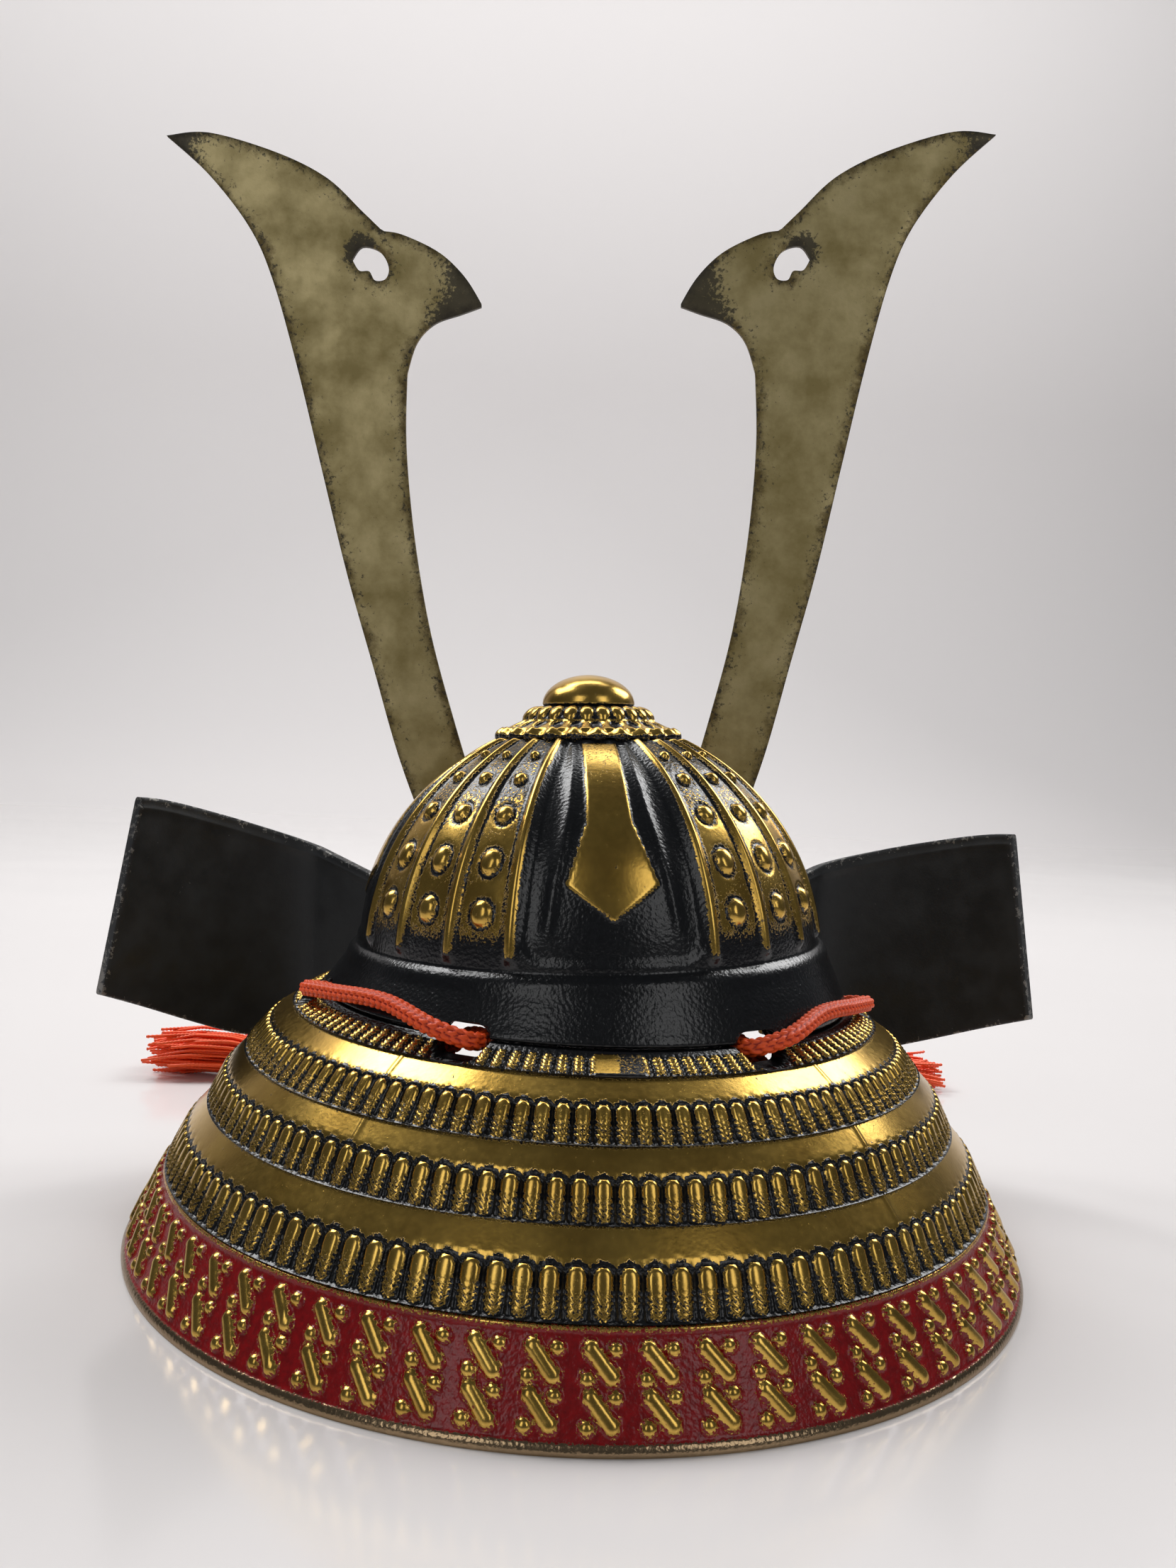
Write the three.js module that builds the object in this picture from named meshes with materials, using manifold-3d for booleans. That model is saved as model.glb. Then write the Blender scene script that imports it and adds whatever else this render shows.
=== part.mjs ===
// A small cast-metal samurai helmet that stands on the rim of its neck guard.
// Millimetres, +Z up. The back of the helmet faces -Y, its front faces +Y and its right side is +X.
// Everything is drawn around the bowl's axis. The whole group is moved at the end, so that the origin
// lies under the middle of the helmet, on the plane that it stands on.
import * as THREE from 'three';
import { mergeVertices } from 'three/addons/utils/BufferGeometryUtils.js';
import Module from 'manifold-3d';

const wasm = await Module();
wasm.setup();

// Driving dimensions
const GAP = 0.3;
const CAST_WALL = 3;
const RIM_RADIUS = 85;
const VISOR_REACH = 65;

// Bowl: half an ellipsoid on a flared band, with ribs between fields of studs
const BOWL_RADIUS = 45;
const BOWL_HEIGHT = 44;
const BOWL_BASE = 55;
const BAND_TOP_RADIUS = 46.2;
const BAND_FOOT_RADIUS = 51;
const BAND_FOOT = 46.5;
const CROWN_SEAT = 95.6;
const CROWN_SEAT_RADIUS = 17.2;
const RIB_HEIGHT = 0.9;
const RIB_HALF_ANGLE = 1.7;
const PANEL_DEPTH = 0.5;
const STUD_RISE = 0.9;
const STUD_ROOT = 0.6;
// The casting of the dome leans sideways on its level foot
const DOME_LEAN = -2.5;

// Neck guard: lames around the back, open at the front
const GUARD_HALF_ANGLE = 122;
const GUARD_COLUMNS = 30;
const LAME_STEP = 0.6;
const KNOT_RISE = 0.7;
const BAND_BULGE = 0.5;
const BAND_KNEE = 0.8;
const KNOT_FOOT_OUT = 0.2;
const CROSS_RISE = 0.9;
const CROSS_PITCH = 5.75;
const CROSS_SLANT = 1.15;
const CROSS_HALF_WIDTH = 0.95;
const BACK_PLATE_HALF_ANGLE = 4.2;

// Holes that the cord passes through, at the height of the first lame
const SLOT_HEIGHT = 4.9;
const SLOT_MIDDLE = 46.05;
const SLOTS = [
  { azimuth: 28.4, width: 9.2 },
  { azimuth: 79.2, width: 6.6 },
];

// Turned-back wings
const WING_THICKNESS = 2;
const WING_BORDER = 3;
const WING_BORDER_RISE = 0.5;
const WING_LINE_RISE = 0.4;

// Horns and their holder, which are twisted and lean a little on the visor
const HORN_THICKNESS = 1.2;
const HORN_PLANE = 52.4;
const HORN_OFFSET = 4.4;
const HORN_LEAN = -2.8;
const HORN_TWIST = -6;
const HOLDER_THICKNESS = 4.8;

// Cord and tassels
const CORD_RADIUS = 1.5;
const CORD_SIDES = 8;
const CORD_STEP = 8.4;
const FLOOR_CLEARANCE = 0.1;

const COLOURS = {
  gold: { color: 0x9a7b2c, metalness: 0.9, roughness: 0.4 },
  black: { color: 0x14161a, metalness: 0.3, roughness: 0.45 },
  brass: { color: 0x857744, metalness: 0.9, roughness: 0.45 },
  cord: { color: 0xe04a1c, metalness: 0, roughness: 0.8 },
};

const radians = THREE.MathUtils.degToRad;

// A point at an azimuth counted from the back, towards the right
function polar(azimuth, radius, height) {
  const angle = radians(azimuth);
  return new THREE.Vector3(radius * Math.sin(angle), -radius * Math.cos(angle), height);
}

function mesh(name, geometry, look) {
  const result = new THREE.Mesh(geometry, new THREE.MeshStandardMaterial(COLOURS[look]));
  result.name = name;
  return result;
}

// Surfaces made of lines of points
// A line is a list of { at, point }: at says how far along the line the point lies.
class Surface {
  constructor() {
    this.positions = [];
    this.triangles = [];
  }

  line(points, closed = false) {
    const made = points.map(({ at, point }) => {
      this.positions.push(point.x, point.y, point.z);
      return { at, id: this.positions.length / 3 - 1 };
    });
    if (closed) made.push({ at: Infinity, id: made[0].id });
    return made;
  }

  // Joins two lines with triangles, whatever their counts
  bridge(first, second) {
    let a = 0;
    let b = 0;
    while (a < first.length - 1 || b < second.length - 1) {
      const canA = a < first.length - 1;
      const canB = b < second.length - 1;
      const stepA = canA && (!canB || first[a + 1].at <= second[b + 1].at);
      const next = stepA ? first[a + 1].id : second[b + 1].id;
      this.triangles.push(first[a].id, second[b].id, next);
      if (stepA) a += 1;
      else b += 1;
    }
  }

  // The finished closed body, with its faces turned outward
  geometry() {
    const p = this.positions;
    let volume = 0;
    for (let i = 0; i < this.triangles.length; i += 3) {
      const corners = this.triangles.slice(i, i + 3);
      const [a, b, c] = corners.map((id) => new THREE.Vector3().fromArray(p, 3 * id));
      volume += a.dot(b.cross(c));
    }
    if (volume < 0) this.triangles.reverse();
    const result = new THREE.BufferGeometry();
    result.setAttribute('position', new THREE.Float32BufferAttribute(p, 3));
    result.setIndex(this.triangles);
    return result;
  }
}

// A wall swept along open lines: outer and inner lines run from end to end, listed from one edge to the other
function sweptWall(outer, inner) {
  const surface = new Surface();
  const outerLines = outer.map((line) => surface.line(line));
  const innerLines = inner.map((line) => surface.line(line));
  const loop = [...outerLines, ...innerLines.reverse()];
  loop.forEach((line, i) => surface.bridge(line, loop[(i + 1) % loop.length]));
  innerLines.reverse();
  const ends = (lines, pick) => lines.map((line, i) => ({ at: i / (lines.length - 1), id: pick(line).id }));
  const first = (line) => line[0];
  const last = (line) => line[line.length - 1];
  surface.bridge(ends(outerLines, first), ends(innerLines, first));
  surface.bridge(ends(innerLines, last), ends(outerLines, last));
  return surface.geometry();
}

// A body of closed rings between two end points
function ringBody(start, rings, end) {
  const surface = new Surface();
  const lines = [surface.line([{ at: 0, point: start }])];
  rings.forEach((ring) => lines.push(surface.line(ring, true)));
  lines.push(surface.line([{ at: 0, point: end }]));
  lines.slice(1).forEach((line, i) => surface.bridge(lines[i], line));
  return surface.geometry();
}

// Joins and cuts
function toSolid(geometry) {
  const bare = geometry.clone();
  bare.deleteAttribute('normal');
  bare.deleteAttribute('uv');
  const merged = mergeVertices(bare, 1e-4);
  return new wasm.Manifold(new wasm.Mesh({
    numProp: 3,
    vertProperties: new Float32Array(merged.attributes.position.array),
    triVerts: new Uint32Array(merged.index.array),
  }));
}

function toGeometry(solid) {
  const { vertProperties, triVerts } = solid.getMesh();
  const result = new THREE.BufferGeometry();
  result.setAttribute('position', new THREE.Float32BufferAttribute(vertProperties, 3));
  result.setIndex(Array.from(triVerts));
  return result;
}

// Cuts the cord holes, which have round ends, through a body
function cutCordHoles(solid) {
  let result = solid;
  for (const { azimuth, width } of SLOTS) {
    const end = SLOT_HEIGHT / 2;
    const outline = new THREE.Shape();
    outline.absarc(width / 2 - end, 0, end, -Math.PI / 2, Math.PI / 2);
    outline.absarc(end - width / 2, 0, end, Math.PI / 2, 1.5 * Math.PI);
    for (const side of [1, -1]) {
      const cutter = new THREE.ExtrudeGeometry(outline, { depth: 24, bevelEnabled: false, curveSegments: 5 });
      cutter.rotateX(Math.PI / 2);
      cutter.translate(0, -40, SLOT_MIDDLE);
      cutter.rotateZ(radians(side * azimuth));
      result = result.subtract(toSolid(cutter));
    }
  }
  return result;
}

// Bowl
const QUARTERS = [0, 90, 180, 270];
const RIB_AZIMUTHS = [22.5, 37.5, 52.5, 67.5];
const STUD_ROWS = [
  { height: 66.4, halfWidth: 1.9, halfHeight: 2.2 },
  { height: 74.8, halfWidth: 1.8, halfHeight: 2.3 },
  { height: 82.6, halfWidth: 1.5, halfHeight: 1.8 },
  { height: 88.5, halfWidth: 1.2, halfHeight: 1.4 },
  { height: 92.5, halfWidth: 0.9, halfHeight: 1.0 },
];
const POINTED_PLATE = [
  { height: 95.0, halfWidth: 3.2 },
  { height: 88.6, halfWidth: 3.5 },
  { height: 81.7, halfWidth: 4.0 },
  { height: 71.7, halfWidth: 7.9 },
  { height: 65.6, halfWidth: 0.4 },
];

function bowlRadiusAt(height, offset = 0) {
  const rise = (height - BOWL_BASE) / (BOWL_HEIGHT + offset);
  return (BOWL_RADIUS + offset) * Math.sqrt(Math.max(0, 1 - rise * rise));
}

// One line around the dome, with its ribs and sunken panels raised or sunk by a share
function domeLine(height, share) {
  const base = bowlRadiusAt(height);
  const points = [];
  for (const quarter of QUARTERS) {
    for (const across of [-12, 0, 12]) {
      points.push({ at: quarter + across, radius: base - PANEL_DEPTH * share });
    }
    for (const azimuth of RIB_AZIMUTHS) {
      const foot = RIB_HALF_ANGLE * (BOWL_RADIUS / base) ** 0.6;
      points.push({ at: quarter + azimuth - foot, radius: base });
      points.push({ at: quarter + azimuth, radius: base + RIB_HEIGHT * share });
      points.push({ at: quarter + azimuth + foot, radius: base });
    }
  }
  return points.map(({ at, radius }) => ({ at, point: polar(at, radius, height) }));
}

function plainRing(radius, height, count, start = -12) {
  return Array.from({ length: count }, (_, i) => {
    const at = start + (360 * i) / count;
    return { at, point: polar(at, radius, height) };
  });
}

function bowlShell() {
  const inside = (height) => plainRing(bowlRadiusAt(height, -CAST_WALL), height, 24);
  const footInside = BAND_FOOT_RADIUS - CAST_WALL;
  const rings = [
    plainRing(CROWN_SEAT_RADIUS, CROWN_SEAT, 48),
    domeLine(93.2, 0.6),
    domeLine(86, 1),
    domeLine(77, 1),
    domeLine(67, 1),
    domeLine(58.6, 1),
    plainRing(bowlRadiusAt(57.2), 57.2, 36),
    plainRing(BAND_TOP_RADIUS, 56.2, 36),
    plainRing(BAND_TOP_RADIUS + 0.9, 54, 36),
    plainRing(BAND_FOOT_RADIUS, BAND_FOOT, 36),
    plainRing(footInside, BAND_FOOT, 24),
    plainRing(footInside - 4.5, BOWL_BASE, 24),
    inside(66),
    inside(77),
    inside(86),
    inside(91),
  ];
  return ringBody(new THREE.Vector3(0, 0, CROWN_SEAT), rings, new THREE.Vector3(0, 0, 92.4));
}

// A low oval dome standing on the bowl, with its foot inside the wall
function stud({ height, halfWidth, halfHeight }, azimuth) {
  const sides = 6;
  const footScale = 1.3;
  const peak = 1.25 * STUD_RISE;
  const rise = height - BOWL_BASE;
  const slope = Math.atan2(rise, Math.sqrt(BOWL_HEIGHT ** 2 - rise ** 2));
  const ring = (scale, out) => Array.from({ length: sides }, (_, i) => {
    const angle = (2 * Math.PI * i) / sides;
    const across = scale * halfWidth * Math.cos(angle);
    const up = scale * halfHeight * Math.sin(angle);
    return { at: i, point: new THREE.Vector3(out, across, up) };
  });
  const foot = new THREE.Vector3(-STUD_ROOT, 0, 0);
  const body = ringBody(foot, [ring(footScale, -STUD_ROOT)], new THREE.Vector3(peak, 0, 0));
  body.rotateY(-slope);
  body.translate(bowlRadiusAt(height), 0, height);
  body.rotateZ(radians(azimuth - 90));
  return body;
}

// A pointed plate laid on the panel between two rib groups
function pointedPlate(azimuth) {
  const line = (side, out) => POINTED_PLATE.map(({ height, halfWidth }) => {
    const radius = bowlRadiusAt(height);
    const across = (side * THREE.MathUtils.radToDeg(halfWidth / radius));
    return { at: -height, point: polar(azimuth + across, radius + out, height) };
  });
  return sweptWall([line(-1, 0.3), line(0, 0.5), line(1, 0.3)], [line(-1, -1.2), line(1, -1.2)]);
}

// Leans what stands above the level foot of the band, little by little up to the dome
function leanDome(geometry) {
  const position = geometry.attributes.position;
  for (let i = 0; i < position.count; i += 1) {
    const point = new THREE.Vector3().fromBufferAttribute(position, i);
    const share = THREE.MathUtils.clamp((point.z - BAND_FOOT) / (BOWL_BASE - BAND_FOOT), 0, 1);
    point.z -= BOWL_BASE;
    point.applyAxisAngle(new THREE.Vector3(0, 1, 0), radians(DOME_LEAN) * share);
    point.z += BOWL_BASE;
    position.setXYZ(i, point.x, point.y, point.z);
  }
  return geometry;
}

function makeBowl() {
  let solid = toSolid(bowlShell());
  for (const quarter of QUARTERS) {
    solid = solid.add(toSolid(pointedPlate(quarter)));
    for (const column of [30, 45, 60]) {
      for (const row of STUD_ROWS) solid = solid.add(toSolid(stud(row, quarter + column)));
    }
  }
  const leaned = leanDome(toGeometry(solid));
  return mesh('bowl', toGeometry(cutCordHoles(toSolid(leaned))), 'gold');
}

// Finial: petal flange, bead ring and domed knob
const FINIAL_TOP = 108.2;
const FINIAL_RINGS = [
  { radius: 16.6, height: CROWN_SEAT + GAP, lobe: 0, count: 24 },
  { radius: 17.8, height: 96.6, lobe: 0.4, count: 48 },
  { radius: 15.6, height: 98.2, lobe: 0.5, count: 48 },
  { radius: 12.3, height: 99.6, lobe: 0, count: 24 },
  { radius: 12.0, height: 100.6, lobe: 0.5, count: 48 },
  { radius: 10.4, height: 101.6, lobe: 0.2, count: 48 },
  { radius: 8.7, height: 102.0, lobe: 0, count: 18 },
  { radius: 8.9, height: 103.6, lobe: 0, count: 18 },
  { radius: 7.9, height: 105.8, lobe: 0, count: 18 },
  { radius: 5.0, height: 107.5, lobe: 0, count: 12 },
];

function makeFinial() {
  const ring = ({ radius, height, lobe, count }) => Array.from({ length: count }, (_, i) => {
    const at = (360 * i) / count;
    return { at, point: polar(at, radius + (i % 2 ? lobe : -lobe), height) };
  });
  const base = new THREE.Vector3(0, 0, FINIAL_RINGS[0].height);
  const body = ringBody(base, FINIAL_RINGS.map(ring), new THREE.Vector3(0, 0, FINIAL_TOP));
  return mesh('finial', leanDome(body), 'gold');
}

// Neck guard
// Each lame's top line, and where along its slope its plain band gives way to knots
const LAMES = [
  { radius: 51.0, height: BAND_FOOT - GAP, knots: 0.1, pitch: 2.7 },
  { radius: 56.3, height: 43.3, knots: 0.38, pitch: 2.87 },
  { radius: 64.7, height: 35.2, knots: 0.37, pitch: 2.87 },
  { radius: 70.9, height: 25.7, knots: 0.38, pitch: 2.87 },
  { radius: 77.8, height: 14.6 },
  { radius: RIM_RADIUS, height: 0 },
];
const KNOT_FOOT = 0.93;
// Rows of stitches along the hem's slope, and where its bare rim begins
const CROSS_ROWS = [
  { from: 0.17, to: 0.41 },
  { from: 0.54, to: 0.78 },
];
const BARE_RIM = 0.9;

// A point on a lame's slope: along runs from its top line to the next, out is the distance off the slope
function onLame(index, along, out) {
  const top = LAMES[index];
  const foot = LAMES[index + 1];
  const fall = new THREE.Vector2(foot.radius - top.radius, foot.height - top.height);
  const length = fall.length();
  return {
    radius: top.radius + fall.x * along - (fall.y / length) * out,
    height: top.height + fall.y * along + (fall.x / length) * out,
  };
}

function plainLine({ radius, height }) {
  return Array.from({ length: GUARD_COLUMNS + 1 }, (_, i) => {
    const at = GUARD_HALF_ANGLE * ((2 * i) / GUARD_COLUMNS - 1);
    return { at, point: polar(at, radius, Math.max(0, height)) };
  });
}

// A row of lacing knots at one place along a lame: out lifts the whole row off the slope
function knotLine(index, along, out = 0) {
  const count = Math.round((2 * GUARD_HALF_ANGLE) / LAMES[index].pitch);
  return Array.from({ length: 2 * count + 1 }, (_, i) => {
    const at = GUARD_HALF_ANGLE * (i / count - 1);
    const onBackPlate = index === 0 && Math.abs(at) < BACK_PLATE_HALF_ANGLE;
    const raised = i % 2 === 1 || onBackPlate;
    const { radius, height } = onLame(index, along, raised ? out + KNOT_RISE : out);
    return { at, point: polar(at, radius, height) };
  });
}

// A line through one end of a row of slanted stitches: shift moves the raised bars sideways
function crossLine(along, shift) {
  const count = Math.round((2 * GUARD_HALF_ANGLE) / CROSS_PITCH);
  const pitch = (2 * GUARD_HALF_ANGLE) / count;
  const low = onLame(4, along, 0);
  const high = onLame(4, along, CROSS_RISE);
  const points = [{ at: -GUARD_HALF_ANGLE, point: polar(-GUARD_HALF_ANGLE, low.radius, low.height) }];
  for (let i = 0; i < count; i += 1) {
    const middle = -GUARD_HALF_ANGLE + pitch * (i + 0.5);
    for (const across of [-1, 0, 1]) {
      const { radius, height } = across === 0 ? high : low;
      const azimuth = middle + shift + across * CROSS_HALF_WIDTH;
      points.push({ at: middle + across * CROSS_HALF_WIDTH, point: polar(azimuth, radius, height) });
    }
  }
  points.push({ at: GUARD_HALF_ANGLE, point: polar(GUARD_HALF_ANGLE, low.radius, low.height) });
  return points;
}

function makeNeckGuard() {
  const outer = [];
  LAMES.slice(0, 4).forEach(({ knots }, index) => {
    outer.push(plainLine(onLame(index, index ? 0.03 : 0, 0)));
    if (index) outer.push(plainLine(onLame(index, knots / 2, BAND_BULGE)));
    outer.push(knotLine(index, knots + 0.06, index ? BAND_KNEE : 0));
    outer.push(knotLine(index, KNOT_FOOT, index ? KNOT_FOOT_OUT : 0));
    outer.push(plainLine(onLame(index, 1, LAME_STEP)));
  });
  outer.push(plainLine(onLame(4, 0.03, 0)));
  CROSS_ROWS.forEach(({ from, to }) => {
    outer.push(crossLine(from, -CROSS_SLANT));
    outer.push(crossLine(to, CROSS_SLANT));
  });
  outer.push(plainLine(onLame(4, BARE_RIM, 0)));
  outer.push(plainLine({ radius: RIM_RADIUS, height: 0 }));
  const inner = [plainLine({ radius: BAND_FOOT_RADIUS - CAST_WALL, height: BAND_FOOT - GAP })];
  [0, 1, 2, 3].forEach((index) => inner.push(plainLine(onLame(index + 1, 0, -CAST_WALL))));
  inner.push(plainLine({ radius: RIM_RADIUS - CAST_WALL, height: 0 }));
  return mesh('neck_guard', toGeometry(cutCordHoles(toSolid(sweptWall(outer, inner)))), 'gold');
}

// Visor over the face, which sits against the bowl's band between the wings
const VISOR_HALF_ANGLE = 55;
const VISOR_THICKNESS = 2.2;
const VISOR_ROOT = { radius: 50.5, height: 48.5 };
const VISOR_EDGE_HEIGHT = 43.6;
const VISOR_END = 2;
const VISOR_COLUMNS = 14;

function visorLine(share, drop, back = 0) {
  return Array.from({ length: VISOR_COLUMNS + 1 }, (_, i) => {
    const at = VISOR_HALF_ANGLE * ((2 * i) / VISOR_COLUMNS - 1);
    const fade = Math.cos((radians(at) * 90) / VISOR_HALF_ANGLE);
    const reach = VISOR_END + (VISOR_REACH - VISOR_ROOT.radius - VISOR_END) * fade;
    const radius = VISOR_ROOT.radius + reach * share - back;
    const height = VISOR_ROOT.height + (VISOR_EDGE_HEIGHT - VISOR_ROOT.height) * share ** 1.4 - drop;
    return { at, point: polar(180 + at, radius, height) };
  });
}

function makeVisor() {
  const rolledEdge = 0.5;
  const top = [
    visorLine(0, 0),
    visorLine(0.5, 0),
    visorLine(0.88, 0),
    visorLine(0.9, -rolledEdge),
    visorLine(1, -rolledEdge),
  ];
  const under = [
    visorLine(0, VISOR_THICKNESS, -1.1),
    visorLine(0.5, VISOR_THICKNESS),
    visorLine(1, VISOR_THICKNESS),
  ];
  return mesh('visor', sweptWall(top, under), 'black');
}

// Turned-back wings at the front ends of the neck guard
// In plan each one runs out along the guard's end, then turns back
const WING_START = new THREE.Vector3(44.1, 29.4, 0);
const WING_BEND = new THREE.Vector3(56.4, 37.1, 0);
const WING_PLAN = new THREE.CurvePath();
WING_PLAN.add(new THREE.LineCurve3(WING_START, WING_BEND));
WING_PLAN.add(new THREE.CubicBezierCurve3(
  WING_BEND,
  new THREE.Vector3(63.3, 41.1, 0),
  new THREE.Vector3(80, 36.5, 0),
  new THREE.Vector3(95.6, 15.8, 0),
));
const WING_TIP_BORDER = 0.951;
const WING_PLACES = [
  { at: 0, foot: 31, top: 64 },
  { at: 0.22, foot: 34.4, top: 68.4 },
  { at: 0.34, foot: 27.4, top: 70.7 },
  { at: 0.46, foot: 26, top: 72.8 },
  { at: 0.58, foot: 28.7, top: 74.8 },
  { at: 0.7, foot: 31.6, top: 76.5 },
  { at: 0.82, foot: 34.7, top: 78.1 },
  { at: 0.95, foot: 37.8, top: 79.4 },
  { at: 0.955, foot: 37.9, top: 79.4 },
  { at: 1, foot: 38.9, top: 79.4 },
];
// Each wing's foot flares outward, and the right wing is bent out a little further than the left
const WING_FLARE = 0.16;
const WING_FLARE_HEIGHT = 60;
const WING_FLARE_START = 0.3;
const WING_SPREAD = 1.5;

// A line along the wing at one share of its height, off its middle plane by out
// border gives how far the raised border stands out there: it also runs up the wing's tip
function wingLine(spread, up, out, rim = 0, border = 0) {
  return WING_PLACES.map(({ at, foot, top }) => {
    const tangent = WING_PLAN.getTangentAt(at);
    const offset = out + (at > WING_TIP_BORDER ? rim : border);
    const point = WING_PLAN.getPointAt(at);
    point.z = foot + (top - foot) * up;
    const flared = Math.max(0, (at - WING_FLARE_START) / (1 - WING_FLARE_START));
    point.x += flared * (WING_FLARE * (WING_FLARE_HEIGHT - point.z) + spread) - tangent.y * offset;
    point.y += tangent.x * offset;
    return { at, point };
  });
}

function makeWing(name, spread) {
  const half = WING_THICKNESS / 2;
  const tip = WING_PLACES.at(-1);
  const edge = WING_BORDER / (tip.top - tip.foot);
  const rim = (up) => wingLine(spread, up, half, WING_BORDER_RISE, WING_BORDER_RISE);
  const field = (up) => wingLine(spread, up, half, WING_BORDER_RISE);
  const back = (up, extra = 0) => wingLine(spread, up, -half - extra);
  const front = [rim(1), rim(1 - edge), field(0.99 - edge), field(edge), rim(edge * 0.9), rim(0)];
  const behind = [back(1), back(0.96), back(0.945, WING_LINE_RISE), back(0.93), back(0.4), back(0)];
  return mesh(name, sweptWall(front, behind), 'black');
}

// Horns: flat plates, drawn for the left side as seen from the back
const HORN_OUTLINE = {
  tip: [-97.5, 237.6],
  top: [[-87.5, 238.3], [-71.7, 233.7], [-59.9, 227.8], [-51.5, 219.9], [-46.8, 215.4]],
  beak: [[-42, 214.5], [-33.5, 210.4], [-27.4, 204.6], [-23.2, 197.8]],
  throat: [[-28.2, 196], [-34.5, 193.8], [-38.8, 189.4], [-41.2, 182.1]],
  inner: [[-41.5, 165.2], [-39.7, 143.9], [-36, 121.4], [-30.7, 101.1], [-25.6, 84], [-21, 70]],
  foot: [[-17.5, 60], [-31.5, 60]],
  outer: [
    [-36.2, 71], [-43.6, 91.4], [-49.6, 112.9], [-55.8, 135.3], [-61.6, 159.9],
    [-67.3, 184.1], [-72.9, 204.3], [-78.2, 216.3], [-87.6, 228.6],
  ],
};
const HORN_HOLE = [
  [-54, 208.8], [-52.4, 206.2], [-50, 206], [-48.7, 203.9],
  [-46.2, 204.2], [-45.4, 206.9], [-47.4, 210.6], [-51.6, 211.7],
];

function hornShape() {
  const v = ([x, z]) => new THREE.Vector2(x, z);
  const o = HORN_OUTLINE;
  const shape = new THREE.Shape();
  shape.moveTo(...o.tip);
  shape.splineThru(o.top.map(v));
  shape.splineThru(o.beak.map(v));
  shape.splineThru(o.throat.map(v));
  shape.splineThru(o.inner.map(v));
  o.foot.forEach((p) => shape.lineTo(...p));
  shape.splineThru(o.outer.map(v));
  const hole = new THREE.SplineCurve([...HORN_HOLE, HORN_HOLE[0]].map(v));
  shape.holes.push(new THREE.Path(hole.getPoints(12).slice(0, -1)));
  return shape;
}

function upright(shape, thickness, middle) {
  const body = new THREE.ExtrudeGeometry(shape, { depth: thickness, bevelEnabled: false, curveSegments: 2 });
  body.rotateX(Math.PI / 2);
  body.translate(0, middle + thickness / 2, 0);
  return body;
}

function mirrored(geometry) {
  const bare = geometry.clone();
  bare.deleteAttribute('normal');
  bare.deleteAttribute('uv');
  const result = mergeVertices(bare, 1e-4);
  result.scale(-1, 1, 1);
  result.setIndex(Array.from(result.index.array).reverse());
  return result;
}

// The holder has one pocket for each horn, open at the top
const HOLDER_OUTLINE = [
  [-8, 49], [-20, 50.5], [-34, 55], [-37, 60], [-38.5, 68],
  [-33, 72.5], [-22, 73], [-12, 70], [-8, 76], [0, 80],
];
const POCKET = [[-17.1, 59.6], [-31.9, 59.6], [-36.7, 71.2], [-41.9, 86], [-25, 86], [-20.6, 71]];

function makeHolder() {
  const otherHalf = HOLDER_OUTLINE.slice(0, -1).reverse().map(([x, z]) => [-x, z]);
  const points = [...HOLDER_OUTLINE, ...otherHalf];
  const outline = new THREE.Shape(points.map(([x, z]) => new THREE.Vector2(x, z)));
  let solid = toSolid(upright(outline, HOLDER_THICKNESS, HORN_PLANE));
  const pocketShape = new THREE.Shape(POCKET.map(([x, z]) => new THREE.Vector2(x, z)));
  const pocket = upright(pocketShape, HORN_THICKNESS + 2 * GAP, HORN_PLANE);
  solid = solid.subtract(toSolid(pocket)).subtract(toSolid(mirrored(pocket)));
  return mesh('horn_holder', toGeometry(solid), 'gold');
}

function makeHorns() {
  const left = toGeometry(toSolid(upright(hornShape(), HORN_THICKNESS, HORN_PLANE)));
  return [mesh('horn_left', left, 'brass'), mesh('horn_right', mirrored(left), 'brass')];
}

// Cord
// Half of the loop, from the back's middle inside, through the back slot, over the first lame,
// through the side hole, down to the floor and forward to the knot
const LOOP_ROUTE = [
  { azimuth: 0, radius: 46, height: 27.8 },
  { azimuth: 20, radius: 46, height: 28.6 },
  { azimuth: 36, radius: 44.8, height: 31 },
  { azimuth: 42.5, radius: 43.4, height: 37.5 },
  { azimuth: 34, radius: 42.6, height: 44.2 },
  { azimuth: 26.4, radius: 46, height: 45.5 },
  { azimuth: 26.2, radius: 52.2, height: 46.3 },
  { azimuth: 32, radius: 54.4, height: 48 },
  { azimuth: 46, radius: 51.9, height: 49.9 },
  { azimuth: 63, radius: 52.8, height: 48.9 },
  { azimuth: 75.6, radius: 54.4, height: 47.4 },
  { azimuth: 79.8, radius: 49.4, height: 45.9 },
  { azimuth: 80.5, radius: 44.2, height: 41 },
  { azimuth: 83, radius: 43.4, height: 28 },
  { azimuth: 87, radius: 43, height: 14 },
  { azimuth: 100, radius: 41.2, height: 3.2 },
  { azimuth: 118, radius: 41.5, height: 1.7 },
  { azimuth: 142, radius: 50, height: 1.7 },
  { azimuth: 163, radius: 66, height: 1.8 },
  { azimuth: 177.3, radius: 76.9, height: 2.8 },
];
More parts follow.
